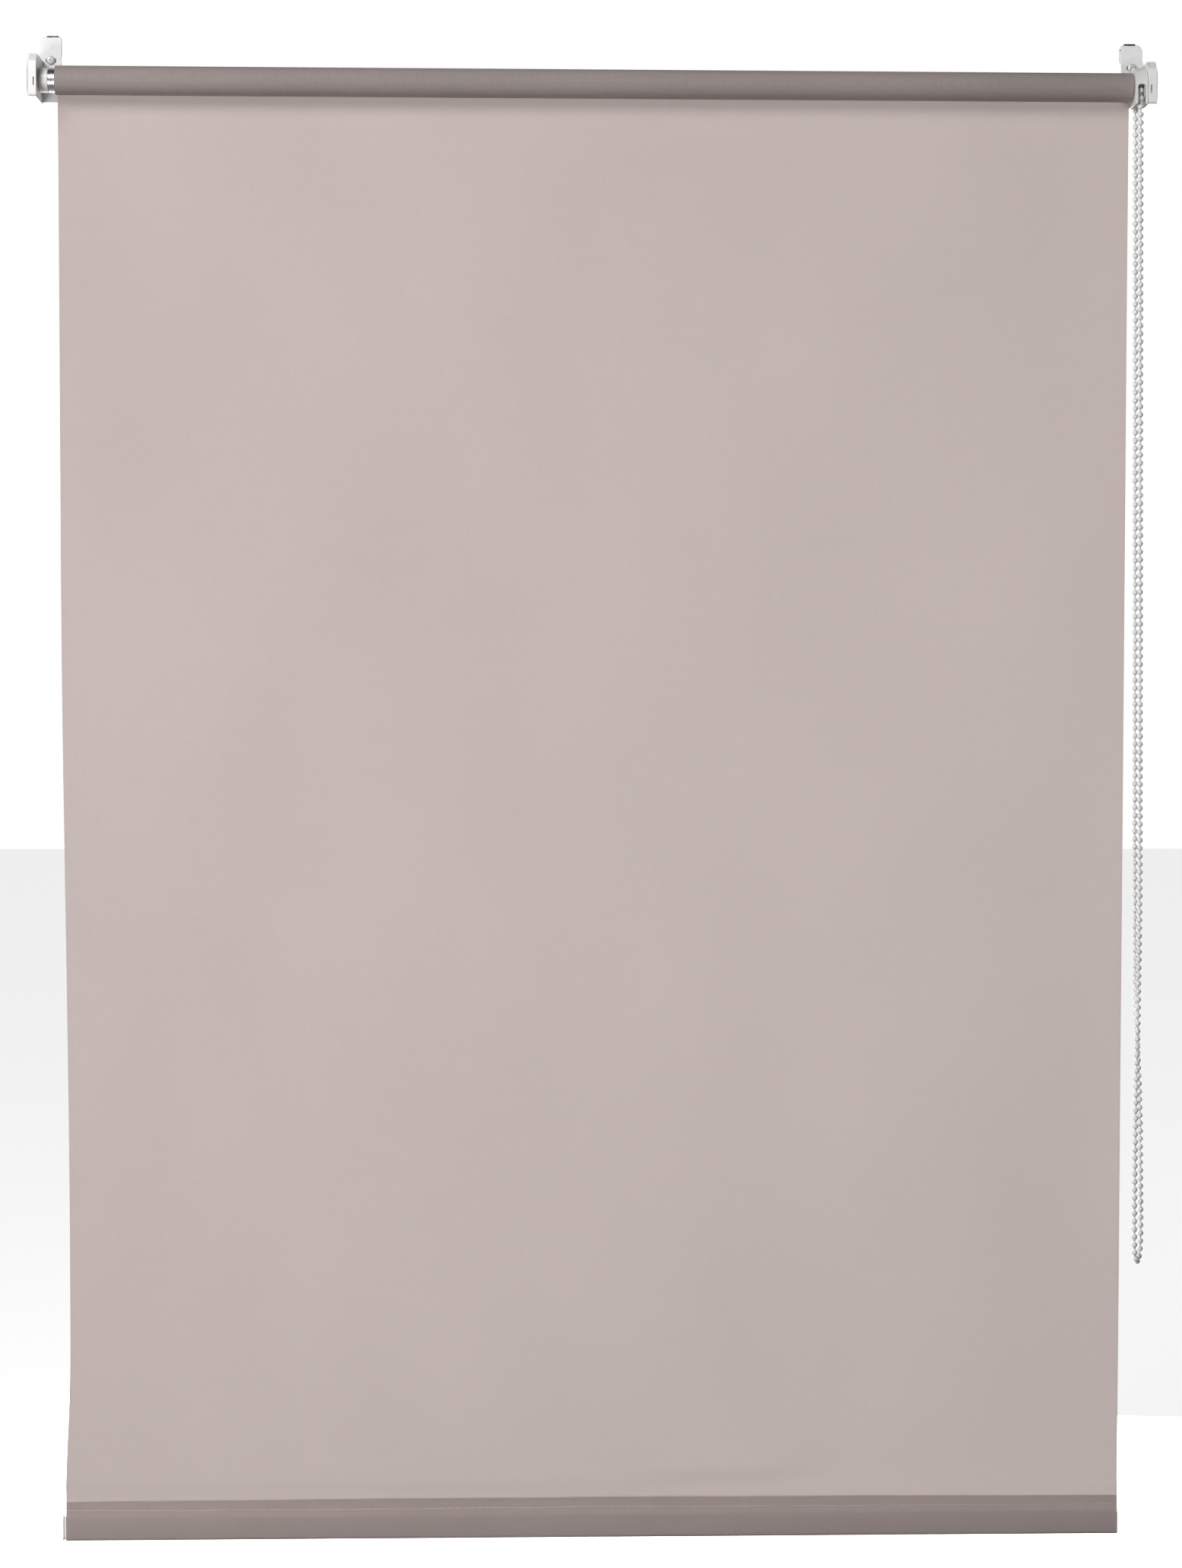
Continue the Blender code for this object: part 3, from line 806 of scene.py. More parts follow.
def smooth_step(share: float) -> float:
    """A smooth rise from 0 to 1 as the share goes from 0 to 1."""
    share = min(max(share, 0.0), 1.0)
    return share * share * (3 - 2 * share)


def ripple(x: float, waves: Sequence[tuple[float, float, float]]) -> float:
    """Sum of a few waves along x.

    Args:
        x: the place.
        waves: each wave's height, length and phase.

    Returns:
        The height at x.
    """
    return sum(high * math.sin(2 * math.pi * x / long + phase) for high, long, phase in waves)


def folded_cloth(
    name: str,
    path: Sequence[tuple[float, float]],
    ends: Callable[[float, float], float],
    thick: float,
    columns: int,
    shift: Callable[[float, float], tuple[float, float]],
    start_along: float = 0.0,
) -> bpy.types.Mesh:
    """A strip of cloth that follows a folded or wound line in the YZ plane, pushed along X.

    Args:
        name: the mesh's name.
        path: the (y, z) points of the cloth's middle.
        ends: gives x for a share from -1 to 1 across the width and the way along the path.
        thick: the cloth's thickness.
        columns: steps across the width.
        shift: gives a (y, z) move for x and the way along the path.
        start_along: the way along the cloth at the path's first point, for its map.

    Returns:
        A closed mesh with the cloth's own map in metres.
    """
    along = [0.0]
    for before, after in zip(path, path[1:]):
        along.append(along[-1] + math.dist(before, after))
    sides = []
    for i in range(len(path)):
        before, after = path[max(i - 1, 0)], path[min(i + 1, len(path) - 1)]
        run = Vector((after[0] - before[0], after[1] - before[1])).normalized()
        sides.append((run.y, -run.x))
    data = bmesh.new()
    cloth_map = data.loops.layers.uv.new("UVMap")
    places: dict[bmesh.types.BMVert, tuple[float, float]] = {}

    def vert(column: int, row: int, face: int) -> bmesh.types.BMVert:
        """One corner of the cloth.

        Args:
            column: its step across.
            row: its point of the path.
            face: 1 on the front, -1 on the back.

        Returns:
            The corner.
        """
        x = ends(2 * column / columns - 1, along[row])
        move = shift(x, along[row])
        y = path[row][0] + sides[row][0] * face * thick / 2 + move[0]
        z = path[row][1] + sides[row][1] * face * thick / 2 + move[1]
        made = data.verts.new((x, y, z))
        places[made] = (x, start_along + along[row])
        return made

    rows = range(len(path))
    grids = {face: [[vert(c, r, face) for r in rows] for c in range(columns + 1)] for face in (1, -1)}
    for face, grid in grids.items():
        for c in range(columns):
            for r in range(len(path) - 1):
                corners = [grid[c][r], grid[c + 1][r], grid[c + 1][r + 1], grid[c][r + 1]]
                data.faces.new(corners[::face])
    front, back = grids[1], grids[-1]
    for c, turn in ((0, 1), (columns, -1)):
        for r in range(len(path) - 1):
            data.faces.new([front[c][r], front[c][r + 1], back[c][r + 1], back[c][r]][::turn])
    for r, turn in ((0, -1), (len(path) - 1, 1)):
        for c in range(columns):
            data.faces.new([front[c][r], front[c + 1][r], back[c + 1][r], back[c][r]][::turn])
    bmesh.ops.recalc_face_normals(data, faces=data.faces)
    for face in data.faces:
        for loop in face.loops:
            loop[cloth_map].uv = places[loop.vert]
    mesh = bpy.data.meshes.new(name)
    data.to_mesh(mesh)
    data.free()
    return smoothed(mesh)


class Frame:
    """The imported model: its nodes, and the body that each belongs to."""

    def __init__(self, loaded: dict) -> None:
        """Reads a loaded frame.
        """
        self.nodes: dict[str, bpy.types.Object] = loaded["nodes"]
        self.bodies: dict[str, list[str]] = loaded["record"]["behaviour"]["bodies"]
        self.joints: list[dict] = loaded["joints"]

    def body_of(self, node: str) -> str:
        """The body that a node is part of."""
        return next(body for body, members in self.bodies.items() if node in members)

    def travel(self, joint: str) -> float:
        """How far a joint moves, in metres."""
        return next(found for found in self.joints if found["name"] == joint)["range_m"][1]

    def place(self, piece: bpy.types.Object, node: str, slot: str) -> bpy.types.Object:
        """Makes a piece stand for a node and move as it does.

        Args:
            piece: the piece.
            node: the node.
            slot: the record's material slot; not used.

        Returns:
            The piece.
        """
        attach(piece, self.body_of(node))
        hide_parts(node)
        LOG.info("%s stands for %s", piece.name, node)
        return piece

    def eased(
        self, node: str, name: str, material: bpy.types.Material, slot: str, edge: float
    ) -> bpy.types.Object:
        """A copy of a node with its edges rounded over.

        Args:
            node: the node that it stands for.
            name: the new piece's name.
            material: its finish.
            slot: the record's material slot.
            edge: the rounding's width.

        Returns:
            The piece, in place.
        """
        data = bmesh.new()
        data.from_mesh(self.nodes[node].data)
        bmesh.ops.remove_doubles(data, verts=data.verts, dist=2e-6)
        bmesh.ops.dissolve_limit(
            data,
            angle_limit=math.radians(1.0),
            use_dissolve_boundaries=False,
            verts=data.verts,
            edges=data.edges,
        )
        return self.place(show(name, ease_edges(scratch(data), edge), material), node, slot)

    def dressed(self, node: str, material: bpy.types.Material) -> None:
        """Gives a node that stays as it is its finish.

        Args:
            node: the node.
            material: its finish.
        """
        held = self.nodes[node].data.materials
        if held:
            for index in range(len(held)):
                held[index] = material
        else:
            held.append(material)


class GeometryWork(NodeWork):
    """A Geometry Nodes tree in the making, for what repeats along a line."""

    def __init__(self, name: str, sockets: Sequence[tuple[str, str]]) -> None:
        """Starts a tree that takes a line and its own named inputs.

        Args:
            name: the tree's name.
            sockets: each input's name and socket type.
        """
        group = bpy.data.node_groups.new(name, "GeometryNodeTree")
        super().__init__(group)
        group.interface.new_socket(name="Line", in_out="INPUT", socket_type="NodeSocketGeometry")
        for label, kind in sockets:
            group.interface.new_socket(name=label, in_out="INPUT", socket_type=kind)
        group.interface.new_socket(name="Pieces", in_out="OUTPUT", socket_type="NodeSocketGeometry")
        self.given = self.node("NodeGroupInput").outputs

    def value(self, name: str) -> Value:
        """A named number input."""
        return Value(self, self.given[name])

    def spaced(self, line: bpy.types.NodeSocket, count: str) -> bpy.types.NodeSocket:
        """The points of a line, as many as the named input says."""
        given = {"Curve": line, "Count": self.given[count]}
        return self.node("GeometryNodeResampleCurve", {"mode": "COUNT"}, given).outputs[0]

    def along_line(self, axis: str) -> bpy.types.NodeSocket:
        """A turn that lays an axis along the line."""
        tangent = self.node("GeometryNodeInputTangent").outputs[0]
        return self.node("FunctionNodeAlignRotationToVector", {"axis": axis}, {"Vector": tangent}).outputs[0]

    def uneven(self, low: Point, high: Point, seed: int) -> bpy.types.NodeSocket:
        """A vector between two that differs from point to point."""
        given = {0: low, 1: high, "Seed": seed}
        return self.node("FunctionNodeRandomValue", {"data_type": "FLOAT_VECTOR"}, given).outputs[0]

    def swept(self, line: bpy.types.NodeSocket, sides: int) -> bpy.types.NodeSocket:
        """A round thread along a line, as thick as the Thread Radius input says.

        Args:
            line: the line.
            sides: how many sides it has.

        Returns:
            The thread.
        """
        size = {"Resolution": sides, "Radius": self.given["Thread Radius"]}
        rim = self.node("GeometryNodeCurvePrimitiveCircle", {"mode": "RADIUS"}, size).outputs[0]
        given = {"Curve": line, "Profile Curve": rim, "Fill Caps": True}
        return self.node("GeometryNodeCurveToMesh", {}, given).outputs[0]

    def repeated(
        self,
        spots: bpy.types.NodeSocket,
        part: bpy.types.NodeSocket,
        turn: bpy.types.NodeSocket,
        scale: bpy.types.NodeSocket | Point,
    ) -> bpy.types.NodeSocket:
        """Puts a part on each point.

        Args:
            spots: the points.
            part: the part.
            turn: its rotation.
            scale: its size.

        Returns:
            The parts, as instances.
        """
        given = {"Points": spots, "Instance": part, "Rotation": turn, "Scale": scale}
        return self.node("GeometryNodeInstanceOnPoints", {}, given).outputs[0]

    def finish(self, geometry: Sequence[bpy.types.NodeSocket]) -> bpy.types.NodeTree:
        """Joins the geometry, makes it real, smooth and dressed, and ends the tree.

        Args:
            geometry: what is joined.

        Returns:
            The tree.
        """
        join = self.node("GeometryNodeJoinGeometry")
        for socket in geometry:
            self.tree.links.new(socket, join.inputs[0])
        real = self.node("GeometryNodeRealizeInstances", {}, {"Geometry": join.outputs[0]})
        smooth = self.node("GeometryNodeSetShadeSmooth", {}, {"Geometry": real.outputs[0]})
        dressed = self.node(
            "GeometryNodeSetMaterial", {}, {"Geometry": smooth.outputs[0], "Material": self.given["Finish"]}
        )
        self.node("NodeGroupOutput", {}, {"Pieces": dressed.outputs[0]})
        return self.tree


def run_along(name: str, line: Sequence[Point], tree: bpy.types.NodeTree, values: dict) -> bpy.types.Mesh:
    """Runs a tree on a line of points.

    Args:
        name: the result's name.
        line: the points.
        tree: the Geometry Nodes tree.
        values: its inputs by name.

    Returns:
        The finished mesh.
    """
    curve = bpy.data.curves.new(f"{name}_line", "CURVE")
    curve.dimensions = "3D"
    spline = curve.splines.new("POLY")
    spline.points.add(len(line) - 1)
    for point, place in zip(spline.points, line):
        point.co = (*place, 1.0)
    carrier = bpy.data.objects.new(f"{name}_line", curve)
    modifier = carrier.modifiers.new("run", "NODES")
    modifier.node_group = tree
    known = {item.name: item.identifier for item in tree.interface.items_tree if item.in_out == "INPUT"}
    for label, value in values.items():
        modifier[known[label]] = value
    bpy.context.scene.collection.objects.link(carrier)
    mesh = settled(carrier)
    mesh.name = name
    return mesh


@dataclass
class Studio:
    """Camera, floor, world and lamps."""

    lens: float = 71.85
    sensor: float = 36.0
    eye: Point = (-0.0722, -2.3680, -0.4762)
    look_down: float = 2.49
    look_right: float = 1.773
    tilt: float = -0.071
    shift: tuple[float, float] = (-0.00233, 0.01871)
    floor_drop: float = 0.30
    floor_size: float = 30.0
    floor_glow: float = 0.75
    back_glow: float = 0.27
    below_glow: float = 0.16

    def build(self, low: Vector) -> None:
        """Sets up everything that isn't the blind.

        Args:
            low: the blind's lowest corner.
        """
        self.camera()
        self.floor(low.z - self.floor_drop)
        self.world()
        self.lamp("key_softbox", (-1.5, -2.2, 1.1), (0.0, 0.0, -0.3), (1.2, 1.2), 66.0)
        self.lamp("low_softbox", (-1.3, -2.0, -1.3), (0.0, 0.0, -0.85), (1.0, 1.0), 38.0)
        self.lamp("fill_softbox", (1.6, -2.3, 0.9), (0.0, 0.0, -0.3), (1.2, 1.2), 9.0)
        self.lamp("back_softbox", (0.25, 1.7, -0.75), (0.05, 0.0, -0.70), (2.4, 2.0), 57.0)
        bpy.context.scene.view_settings.view_transform = "Standard"

    def camera(self) -> None:
        """Puts the camera at the object's usual front view, a little left of the middle."""
        data = bpy.data.cameras.new("camera")
        data.lens = self.lens
        data.sensor_width = self.sensor
        data.shift_x, data.shift_y = self.shift
        data.clip_end = 100.0
        camera = bpy.data.objects.new("camera", data)
        camera.location = self.eye
        camera.rotation_euler = (
            math.radians(90 - self.look_down),
            math.radians(self.tilt),
            -math.radians(self.look_right),
        )
        bpy.context.scene.collection.objects.link(camera)
        bpy.context.scene.camera = camera

    def floor(self, height: float) -> None:
        """A plain pale floor that doesn't throw light up at the blind.

        Args:
            height: its height.
        """
        half = self.floor_size / 2
        mesh = bpy.data.meshes.new("floor")
        corners = [(-half, -half, height), (half, -half, height), (half, half, height), (-half, half, height)]
        mesh.from_pydata(corners, [], [(0, 1, 2, 3)])
        work = MaterialWork("pale_floor", Pattern.SPACE)
        surface = work.surface(
            {
                "Base Color": (0.9, 0.9, 0.9, 1.0),
                "Roughness": 0.9,
                "Emission Color": (1.0, 1.0, 1.0, 1.0),
                "Emission Strength": self.floor_glow,
            }
        )
        floor = show("floor", mesh, work.finish(surface))
        floor.visible_diffuse = False
        floor.visible_glossy = False
        floor.visible_transmission = False
        floor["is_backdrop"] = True

    def world(self) -> None:
        """A white surround that lights the blind mostly from behind, as a lit back wall does."""
        world = bpy.data.worlds.new("studio")
        world.use_nodes = True
        bpy.context.scene.world = world
        work = NodeWork(world.node_tree)
        way = work.node("ShaderNodeTexCoord").outputs["Generated"]
        split = work.node("ShaderNodeSeparateXYZ", {}, {"Vector": way})
        back = Value(work, split.outputs["Y"]).rising(-0.20, 0.50)
        below = 1.0 - Value(work, split.outputs["Z"]).rising(-0.90, -0.10)
        seen = Value(work, work.node("ShaderNodeLightPath").outputs["Is Camera Ray"])
        glow = back * self.back_glow + below * self.below_glow
        strength = seen + (1.0 - seen) * glow
        sky = work.node("ShaderNodeBackground", {}, {"Color": (1.0, 1.0, 1.0, 1.0), "Strength": strength})
        work.node("ShaderNodeOutputWorld", {}, {"Surface": sky.outputs[0]})

    def lamp(self, name: str, place: Point, aim: Point, size: tuple[float, float], power: float) -> None:
        """One softbox.

        Args:
            name: its name.
            place: where it stands.
            aim: the point that it faces.
            size: its width and height.
            power: its power in watts.
        """
        data = bpy.data.lights.new(name, "AREA")
        data.shape = "RECTANGLE"
        data.size, data.size_y = size
        data.energy = power
        lamp = bpy.data.objects.new(name, data)
        lamp.location = place
        lamp.rotation_euler = (Vector(aim) - Vector(place)).to_track_quat("-Z", "Y").to_euler()
        lamp.visible_camera = False
        bpy.context.scene.collection.objects.link(lamp)


@dataclass
class BeadDrive:
    """The bead chain, its wheel and guard, and the clutch on the fixed axle."""

    frame: Frame
    palette: Palette
    bead_radius: float = 0.00225
    pitch: float = 0.0060
    thread_radius: float = 0.00055
    sleeve_radius: float = 0.00085
    sleeve_long: float = 0.0053
    pitch_radius: float = 0.00955
    route_steps: int = 12
    guard_mouth: Point = (0.4060, -0.03215, -0.0495)
    guard_wall: float = 0.0016
    guard_disc: float = 0.0011
    neck_radius: float = 0.0074
    mouth: tuple[float, float] = (0.4032, 0.4089)
    mouth_top: float = 0.0005

    def bead_tree(self) -> bpy.types.NodeTree:
        """The tree that threads beads on a line, half a pitch in from each end.

        Returns:
            The tree.
        """
        work = GeometryWork(
            "beads_on_a_line",
            [
                ("Beads", "NodeSocketInt"),
                ("Bead Radius", "NodeSocketFloat"),
                ("Thread Radius", "NodeSocketFloat"),
                ("Sleeve Radius", "NodeSocketFloat"),
                ("Sleeve Length", "NodeSocketFloat"),
                ("Half Pitch", "NodeSocketFloat"),
                ("Finish", "NodeSocketMaterial"),
            ],
        )
        line, half = work.given["Line"], work.value("Half Pitch")
        length = Value(work, work.node("GeometryNodeCurveLength", {}, {"Curve": line}).outputs[0])
        inner = work.node("GeometryNodeTrimCurve", {"mode": "LENGTH"}, {"Curve": line})
        for index, value in zip((4, 5), (half, length - half)):
            work.tree.links.new(value.socket, inner.inputs[index])
        spots = work.spaced(inner.outputs[0], "Beads")
        turn = work.along_line("Z")
        uneven = work.uneven((0.97,) * 3, (1.02,) * 3, 7)
        ball = {"Segments": 12, "Rings": 8, "Radius": work.given["Bead Radius"]}
        bead = work.node("GeometryNodeMeshUVSphere", {}, ball).outputs[0]
        barrel = {"Vertices": 8, "Radius": work.given["Sleeve Radius"], "Depth": work.given["Sleeve Length"]}
        sleeve = work.node("GeometryNodeMeshCylinder", {"fill_type": "NGON"}, barrel).outputs[0]
        beads = work.repeated(spots, bead, turn, uneven)
        sleeves = work.repeated(spots, sleeve, turn, (1.0, 1.0, 1.0))
        return work.finish([beads, sleeves, work.swept(line, 8)])

    def threaded(self, name: str, line: Sequence[Point], tree: bpy.types.NodeTree) -> bpy.types.Object:
        """Beads and thread along a line, as one object.

        Args:
            name: the object's name.
            line: the line's points.
            tree: the tree that threads the beads.

        Returns:
            The object.
        """
        beads = round(length_of(line) / self.pitch)
        values = {
            "Beads": beads,
            "Bead Radius": self.bead_radius,
            "Thread Radius": self.thread_radius,
            "Sleeve Radius": self.sleeve_radius,
            "Sleeve Length": self.sleeve_long,
            "Half Pitch": length_of(line) / beads / 2,
            "Finish": self.palette.bead,
        }
        return show(name, run_along(name, line, tree, values))

    def build(self) -> None:
        """Builds the free loop of the chain and the half turn over the wheel."""
        tree = self.bead_tree()
        line = smooth_line(CHAIN_ROUTE, self.route_steps)
        chain = self.threaded("bead_chain_loop", line, tree)
        self.frame.place(chain, "bead_chain", "bead_plastic")
        low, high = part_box("wheel_beads")
        x, y, z = (low.x + high.x) / 2, (low.y + high.y) / 2, low.z
        half_turn = [(x, y + across, z + up) for across, up in arc((0.0, 0.0), self.pitch_radius, 180, 0, 24)]
        over = self.threaded("beads_over_wheel", half_turn, tree)
        self.frame.place(over, "wheel_beads", "bead_plastic")

    def guard(self) -> bpy.types.Object:
        """The arched shell over the wheel, open below, with a mouth in its front for the chain.

        Returns:
            The guard.
        """
        low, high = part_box("chain_guard")
        axis = Curtain.axis_place()
        radius = (high.y - low.y) / 2

        def arch(size: float, bottom: float) -> list[tuple[float, float]]:
            """A half circle on straight legs, in YZ."""
            turn = [(axis.y + u, axis.z + v) for u, v in arc((0.0, 0.0), size, 180, 0, 40)]
            return [(axis.y - size, bottom), *turn, (axis.y + size, bottom)]

        shell = prism(arch(radius, low.z), "YZ", low.x, high.x)
        inside = arch(radius - self.guard_wall, low.z - 0.01)
        room = prism(inside, "YZ", low.x + self.guard_disc, high.x + 0.001)
        mouth_low, mouth_high = (self.mouth[0], low.z - 0.002), (self.mouth[1], axis.z + self.mouth_top)
        mouth = prism(
            filleted(box_corners(mouth_low, mouth_high, (0.0002, 0.0002, 0.0022, 0.0022)), 8),
            "XZ",
            low.y - 0.001,
            low.y + self.guard_wall * 2.2,
        )
        neck = [(axis.y + u, axis.z + v) for u, v in arc((0.0, 0.0), self.neck_radius, 0, 354, 59)]
        hole = prism(neck, "YZ", low.x - 0.001, low.x + self.guard_disc + 0.001)
        mesh = ease_edges(cut(shell, [room, mouth, hole]), 0.00055, 3)
        piece = show("chain_guard_shell", mesh, self.palette.guard)
        return self.frame.place(piece, "chain_guard", "clear_plastic")

    def dress(self) -> None:
        """Builds the guard and finishes the wheel, plug and axle."""
        inner = self.palette.inner
        self.guard()
        self.frame.eased("chain_wheel", "chain_wheel_moulded", inner, "drive_plastic", 0.00015)
        self.frame.eased("drive_plug", "drive_plug_moulded", inner, "drive_plastic", 0.00015)
        self.frame.eased("drive_axle", "drive_axle_moulded", self.palette.moulding, "white_plastic", 0.0002)
        for node in ("retaining_ring", "clutch_spring_inner", "clutch_spring_outer"):
            self.frame.dressed(node, self.palette.steel)


@dataclass
class IdleEnd:
    """The plug in the left end of the tube, with its sprung pin."""

    frame: Frame
    palette: Palette
    press_joint: str = "pin_press"

    def dress(self) -> None:
        """Finishes the plug, pin and spring; the share of its length that the spring keeps with the pin
        pressed in is worked out but not used.
        """
        self.frame.eased("idle_plug", "idle_plug_moulded", self.palette.moulding, "white_plastic", 0.0002)
        self.frame.eased("idle_pin", "idle_pin_turned", self.palette.steel, "bright_steel", 0.0002)
        steel = self.palette.steel
        spring = self.frame.eased("idle_spring", "idle_spring_coil", steel, "bright_steel", 0.00004)
        low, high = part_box("idle_spring")
        keep = 1 - self.frame.travel(self.press_joint) / (high.x - low.x)
        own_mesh(spring)


@dataclass
class Curtain:
    """The cloth on its tube, the hanging sheet, its stitched hem and the bar in the hem."""

    frame: Frame
    palette: Palette
    cloth_thick: float = 0.00045
    wound_thick: float = 0.00040
    turns: int = 4
    wound_start: float = -0.25  # how far along the cloth the first turn lies
    steps_per_turn: int = 64
    swell_from: float = 80.0  # degrees before the sheet leaves the roll
    width_steps: int = 120
    length_steps: int = 160
    wave_reach: float = 0.0016
    edge_draw: float = 0.0040
    edge_spans: tuple[tuple[float, float], ...] = ((0.33, 0.50), (0.89, 0.11))
    off_middle: float = 0.0013
    tube_wall: float = 0.0010
    tube_sides: int = 96
    lift_joint: str = "bar_lift"
    hem_flap: float = 0.0093
    stitch_drop: float = 0.0065
    stitch_pitch: float = 0.0056
    stitch_long: float = 0.0045
    thread_radius: float = 0.00020
    flap_waves: tuple[tuple[float, float, float], ...] = ((0.00012, 0.19, 0.4), (0.00006, 0.071, 2.0))

    @staticmethod
    def axis_place() -> Vector:
        """The middle of the roll's axis."""
        low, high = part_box("fabric_roll")
        return Vector((0.0, (low.y + high.y) / 2, (low.z + high.z) / 2))

    def __post_init__(self) -> None:
        """Takes the places of the roll, sheet and hem from the frame."""
        low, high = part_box("fabric_roll")
        self.axis = self.axis_place()
        self.half = high.x
        self.roll_radius = (high.z - low.z) / 2
        sheet_low, sheet_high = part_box("fabric_sheet")
        self.sheet_y = (sheet_low.y + sheet_high.y) / 2
        self.drop = self.axis.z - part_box("hem_pocket")[1].z
        self.hem_low, self.hem_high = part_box("hem_pocket")
        self.tube_radius = (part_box("roller_tube")[1].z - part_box("roller_tube")[0].z) / 2

    def build(self) -> None:
        """Builds the cloth pieces."""
        sheet = self.sheet()
        self.wound()
        hem = self.hem()
        stitches = self.stitches()

    def wound(self) -> bpy.types.Object:
        """The cloth left on the tube: a spiral that swells where the sheet leaves it.

        Returns:
            The wound cloth.
        """
        leave = self.sheet_y - self.axis.y
        first = self.tube_radius + 0.0003 + self.wound_thick / 2
        last = self.roll_radius - self.wound_thick / 2
        count = self.turns * self.steps_per_turn
        path = []
        for step in range(count + 1):
            turn = 2 * math.pi * (count - step) / self.steps_per_turn
            radius = first + (last - first) * step / count
            radius += (leave - last) * smooth_step(1 - math.degrees(turn) / self.swell_from)
            path.append((self.axis.y + radius * math.cos(turn), self.axis.z + radius * math.sin(turn)))

        def ends(share: float, along: float) -> float:
            """Each turn's edge lies a little in or out."""
            return self.off_middle + share * (self.half - 0.00025 - 0.0002 * math.sin(along * 210.0 + share))

        def shift(x: float, along: float) -> tuple[float, float]:
            """The turns lie flat on each other."""
            return 0.0, 0.0

        mesh = folded_cloth("wound_cloth", path, ends, self.wound_thick, 24, shift, self.wound_start)
        roll = show("wound_cloth", mesh, self.palette.wound_cloth)
        return self.frame.place(roll, "fabric_roll", "blind_fabric")

    def waves(self, x: float, down: float) -> float:
        """How far the sheet stands out of its plane.

        Args:
            x: the place across.
            down: the share of the way down.

        Returns:
            The height.
        """
        calm = min(down * 9.0, 1.0) * min((1.0 - down) * 14.0, 1.0)
        edge = (abs(x) / self.half) ** 6
        upright = ripple(x, ((0.42, 0.31, 0.3), (0.30, 0.173, 1.9), (0.16, 0.097, 4.0)))
        level = math.sin(2 * math.pi * (down * 1.7 + x * 0.4) + 0.6)
        curl = edge * math.sin(5.2 * down + 0.7)
        return self.wave_reach * calm * (0.55 * upright + 0.25 * level + 0.5 * curl)

    def drawn_in(self, x: float, down: float) -> float:
        """How far the left edge draws in, low on the sheet but not at the hem.

        Args:
            x: the place across.
            down: the share of the way down.

        Returns:
            The move towards the middle.
        """
        low, hem = (smooth_step((down - start) / run) for start, run in self.edge_spans)
        return self.edge_draw * low * (1 - hem) * max(-x / self.half, 0.0) ** 6

    def sheet(self) -> bpy.types.Object:
        """The hanging sheet: cloth held along the roll and along the hem, drawn down by the bar.

        Returns:
            The sheet.
        """
        columns, rows = self.width_steps, self.length_steps
        points, faces = [], []
        for row in range(rows + 1):
            down = row / rows
            for column in range(columns + 1):
                flat = self.half * (2 * column / columns - 1)
                x = self.off_middle + flat + self.drawn_in(flat, down)
                points.append((x, self.sheet_y + self.waves(x, down), self.axis.z - self.drop * down))
        for row in range(rows):
            for column in range(columns):
                a = row * (columns + 1) + column
                faces.append((a, a + columns + 1, a + columns + 2, a + 1))
        mesh = bpy.data.meshes.new("sheet")
        mesh.from_pydata(points, [], faces)
        cloth_map = mesh.uv_layers.new(name="UVMap")
        for loop in mesh.loops:
            place = points[loop.vertex_index]
            cloth_map.uv[loop.index].vector = (place[0], self.axis.z - place[2])
        plain = show("sheet_plain", mesh, self.palette.cloth)
        self.settle(plain)
        wall = plain.modifiers.new("thickness", "SOLIDIFY")
        wall.thickness = self.cloth_thick
        wall.offset = 0.0
        sheet = show("hanging_sheet", smoothed(settled(plain)))
        self.frame.place(sheet, "fabric_sheet", "blind_fabric")
        keep = 1 - self.frame.travel(self.lift_joint) / self.drop
        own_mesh(sheet)
        return sheet

    def settle(self, plain: bpy.types.Object) -> None:
        """Lets the sheet hang as cloth for a moment, held along its top and bottom.

        Args:
            plain: the sheet as a single layer, whose mesh is replaced.
        """
        mesh = plain.data
        rest = [vertex.co.copy() for vertex in mesh.vertices]
        held = plain.vertex_groups.new(name="held")
        across = self.width_steps + 1
        rows = {*range(2 * across), *range(len(rest) - 2 * across, len(rest))}
        held.add(sorted(rows), 1.0, "REPLACE")
        cloth = plain.modifiers.new("cloth", "CLOTH")
        cloth.settings.quality = 6
        cloth.settings.mass = 0.25
        cloth.settings.tension_stiffness = 40.0
        cloth.settings.compression_stiffness = 40.0
        cloth.settings.bending_stiffness = 4.0
        cloth.settings.vertex_group_mass = "held"
        cloth.collision_settings.use_collision = False
        cloth.point_cache.frame_start, cloth.point_cache.frame_end = 1, 16
        scene = bpy.context.scene
        for frame in range(1, 17):
            scene.frame_set(frame)
        graph = bpy.context.evaluated_depsgraph_get()
        hung = [vertex.co.copy() for vertex in plain.evaluated_get(graph).data.vertices]
        plain.modifiers.remove(cloth)
        scene.frame_set(1)
        for vertex, before, after in zip(mesh.vertices, rest, hung):
            move = after - before
            reach = self.wave_reach
            vertex.co = before + Vector([max(-reach, min(reach, part)) for part in move])

    def flap_rise(self, x: float) -> float:
        """How far the hem's raw edge stands above its nominal line at x."""
        return 0.0015 * (1 - (x / self.half) ** 2) + ripple(x, self.flap_waves)

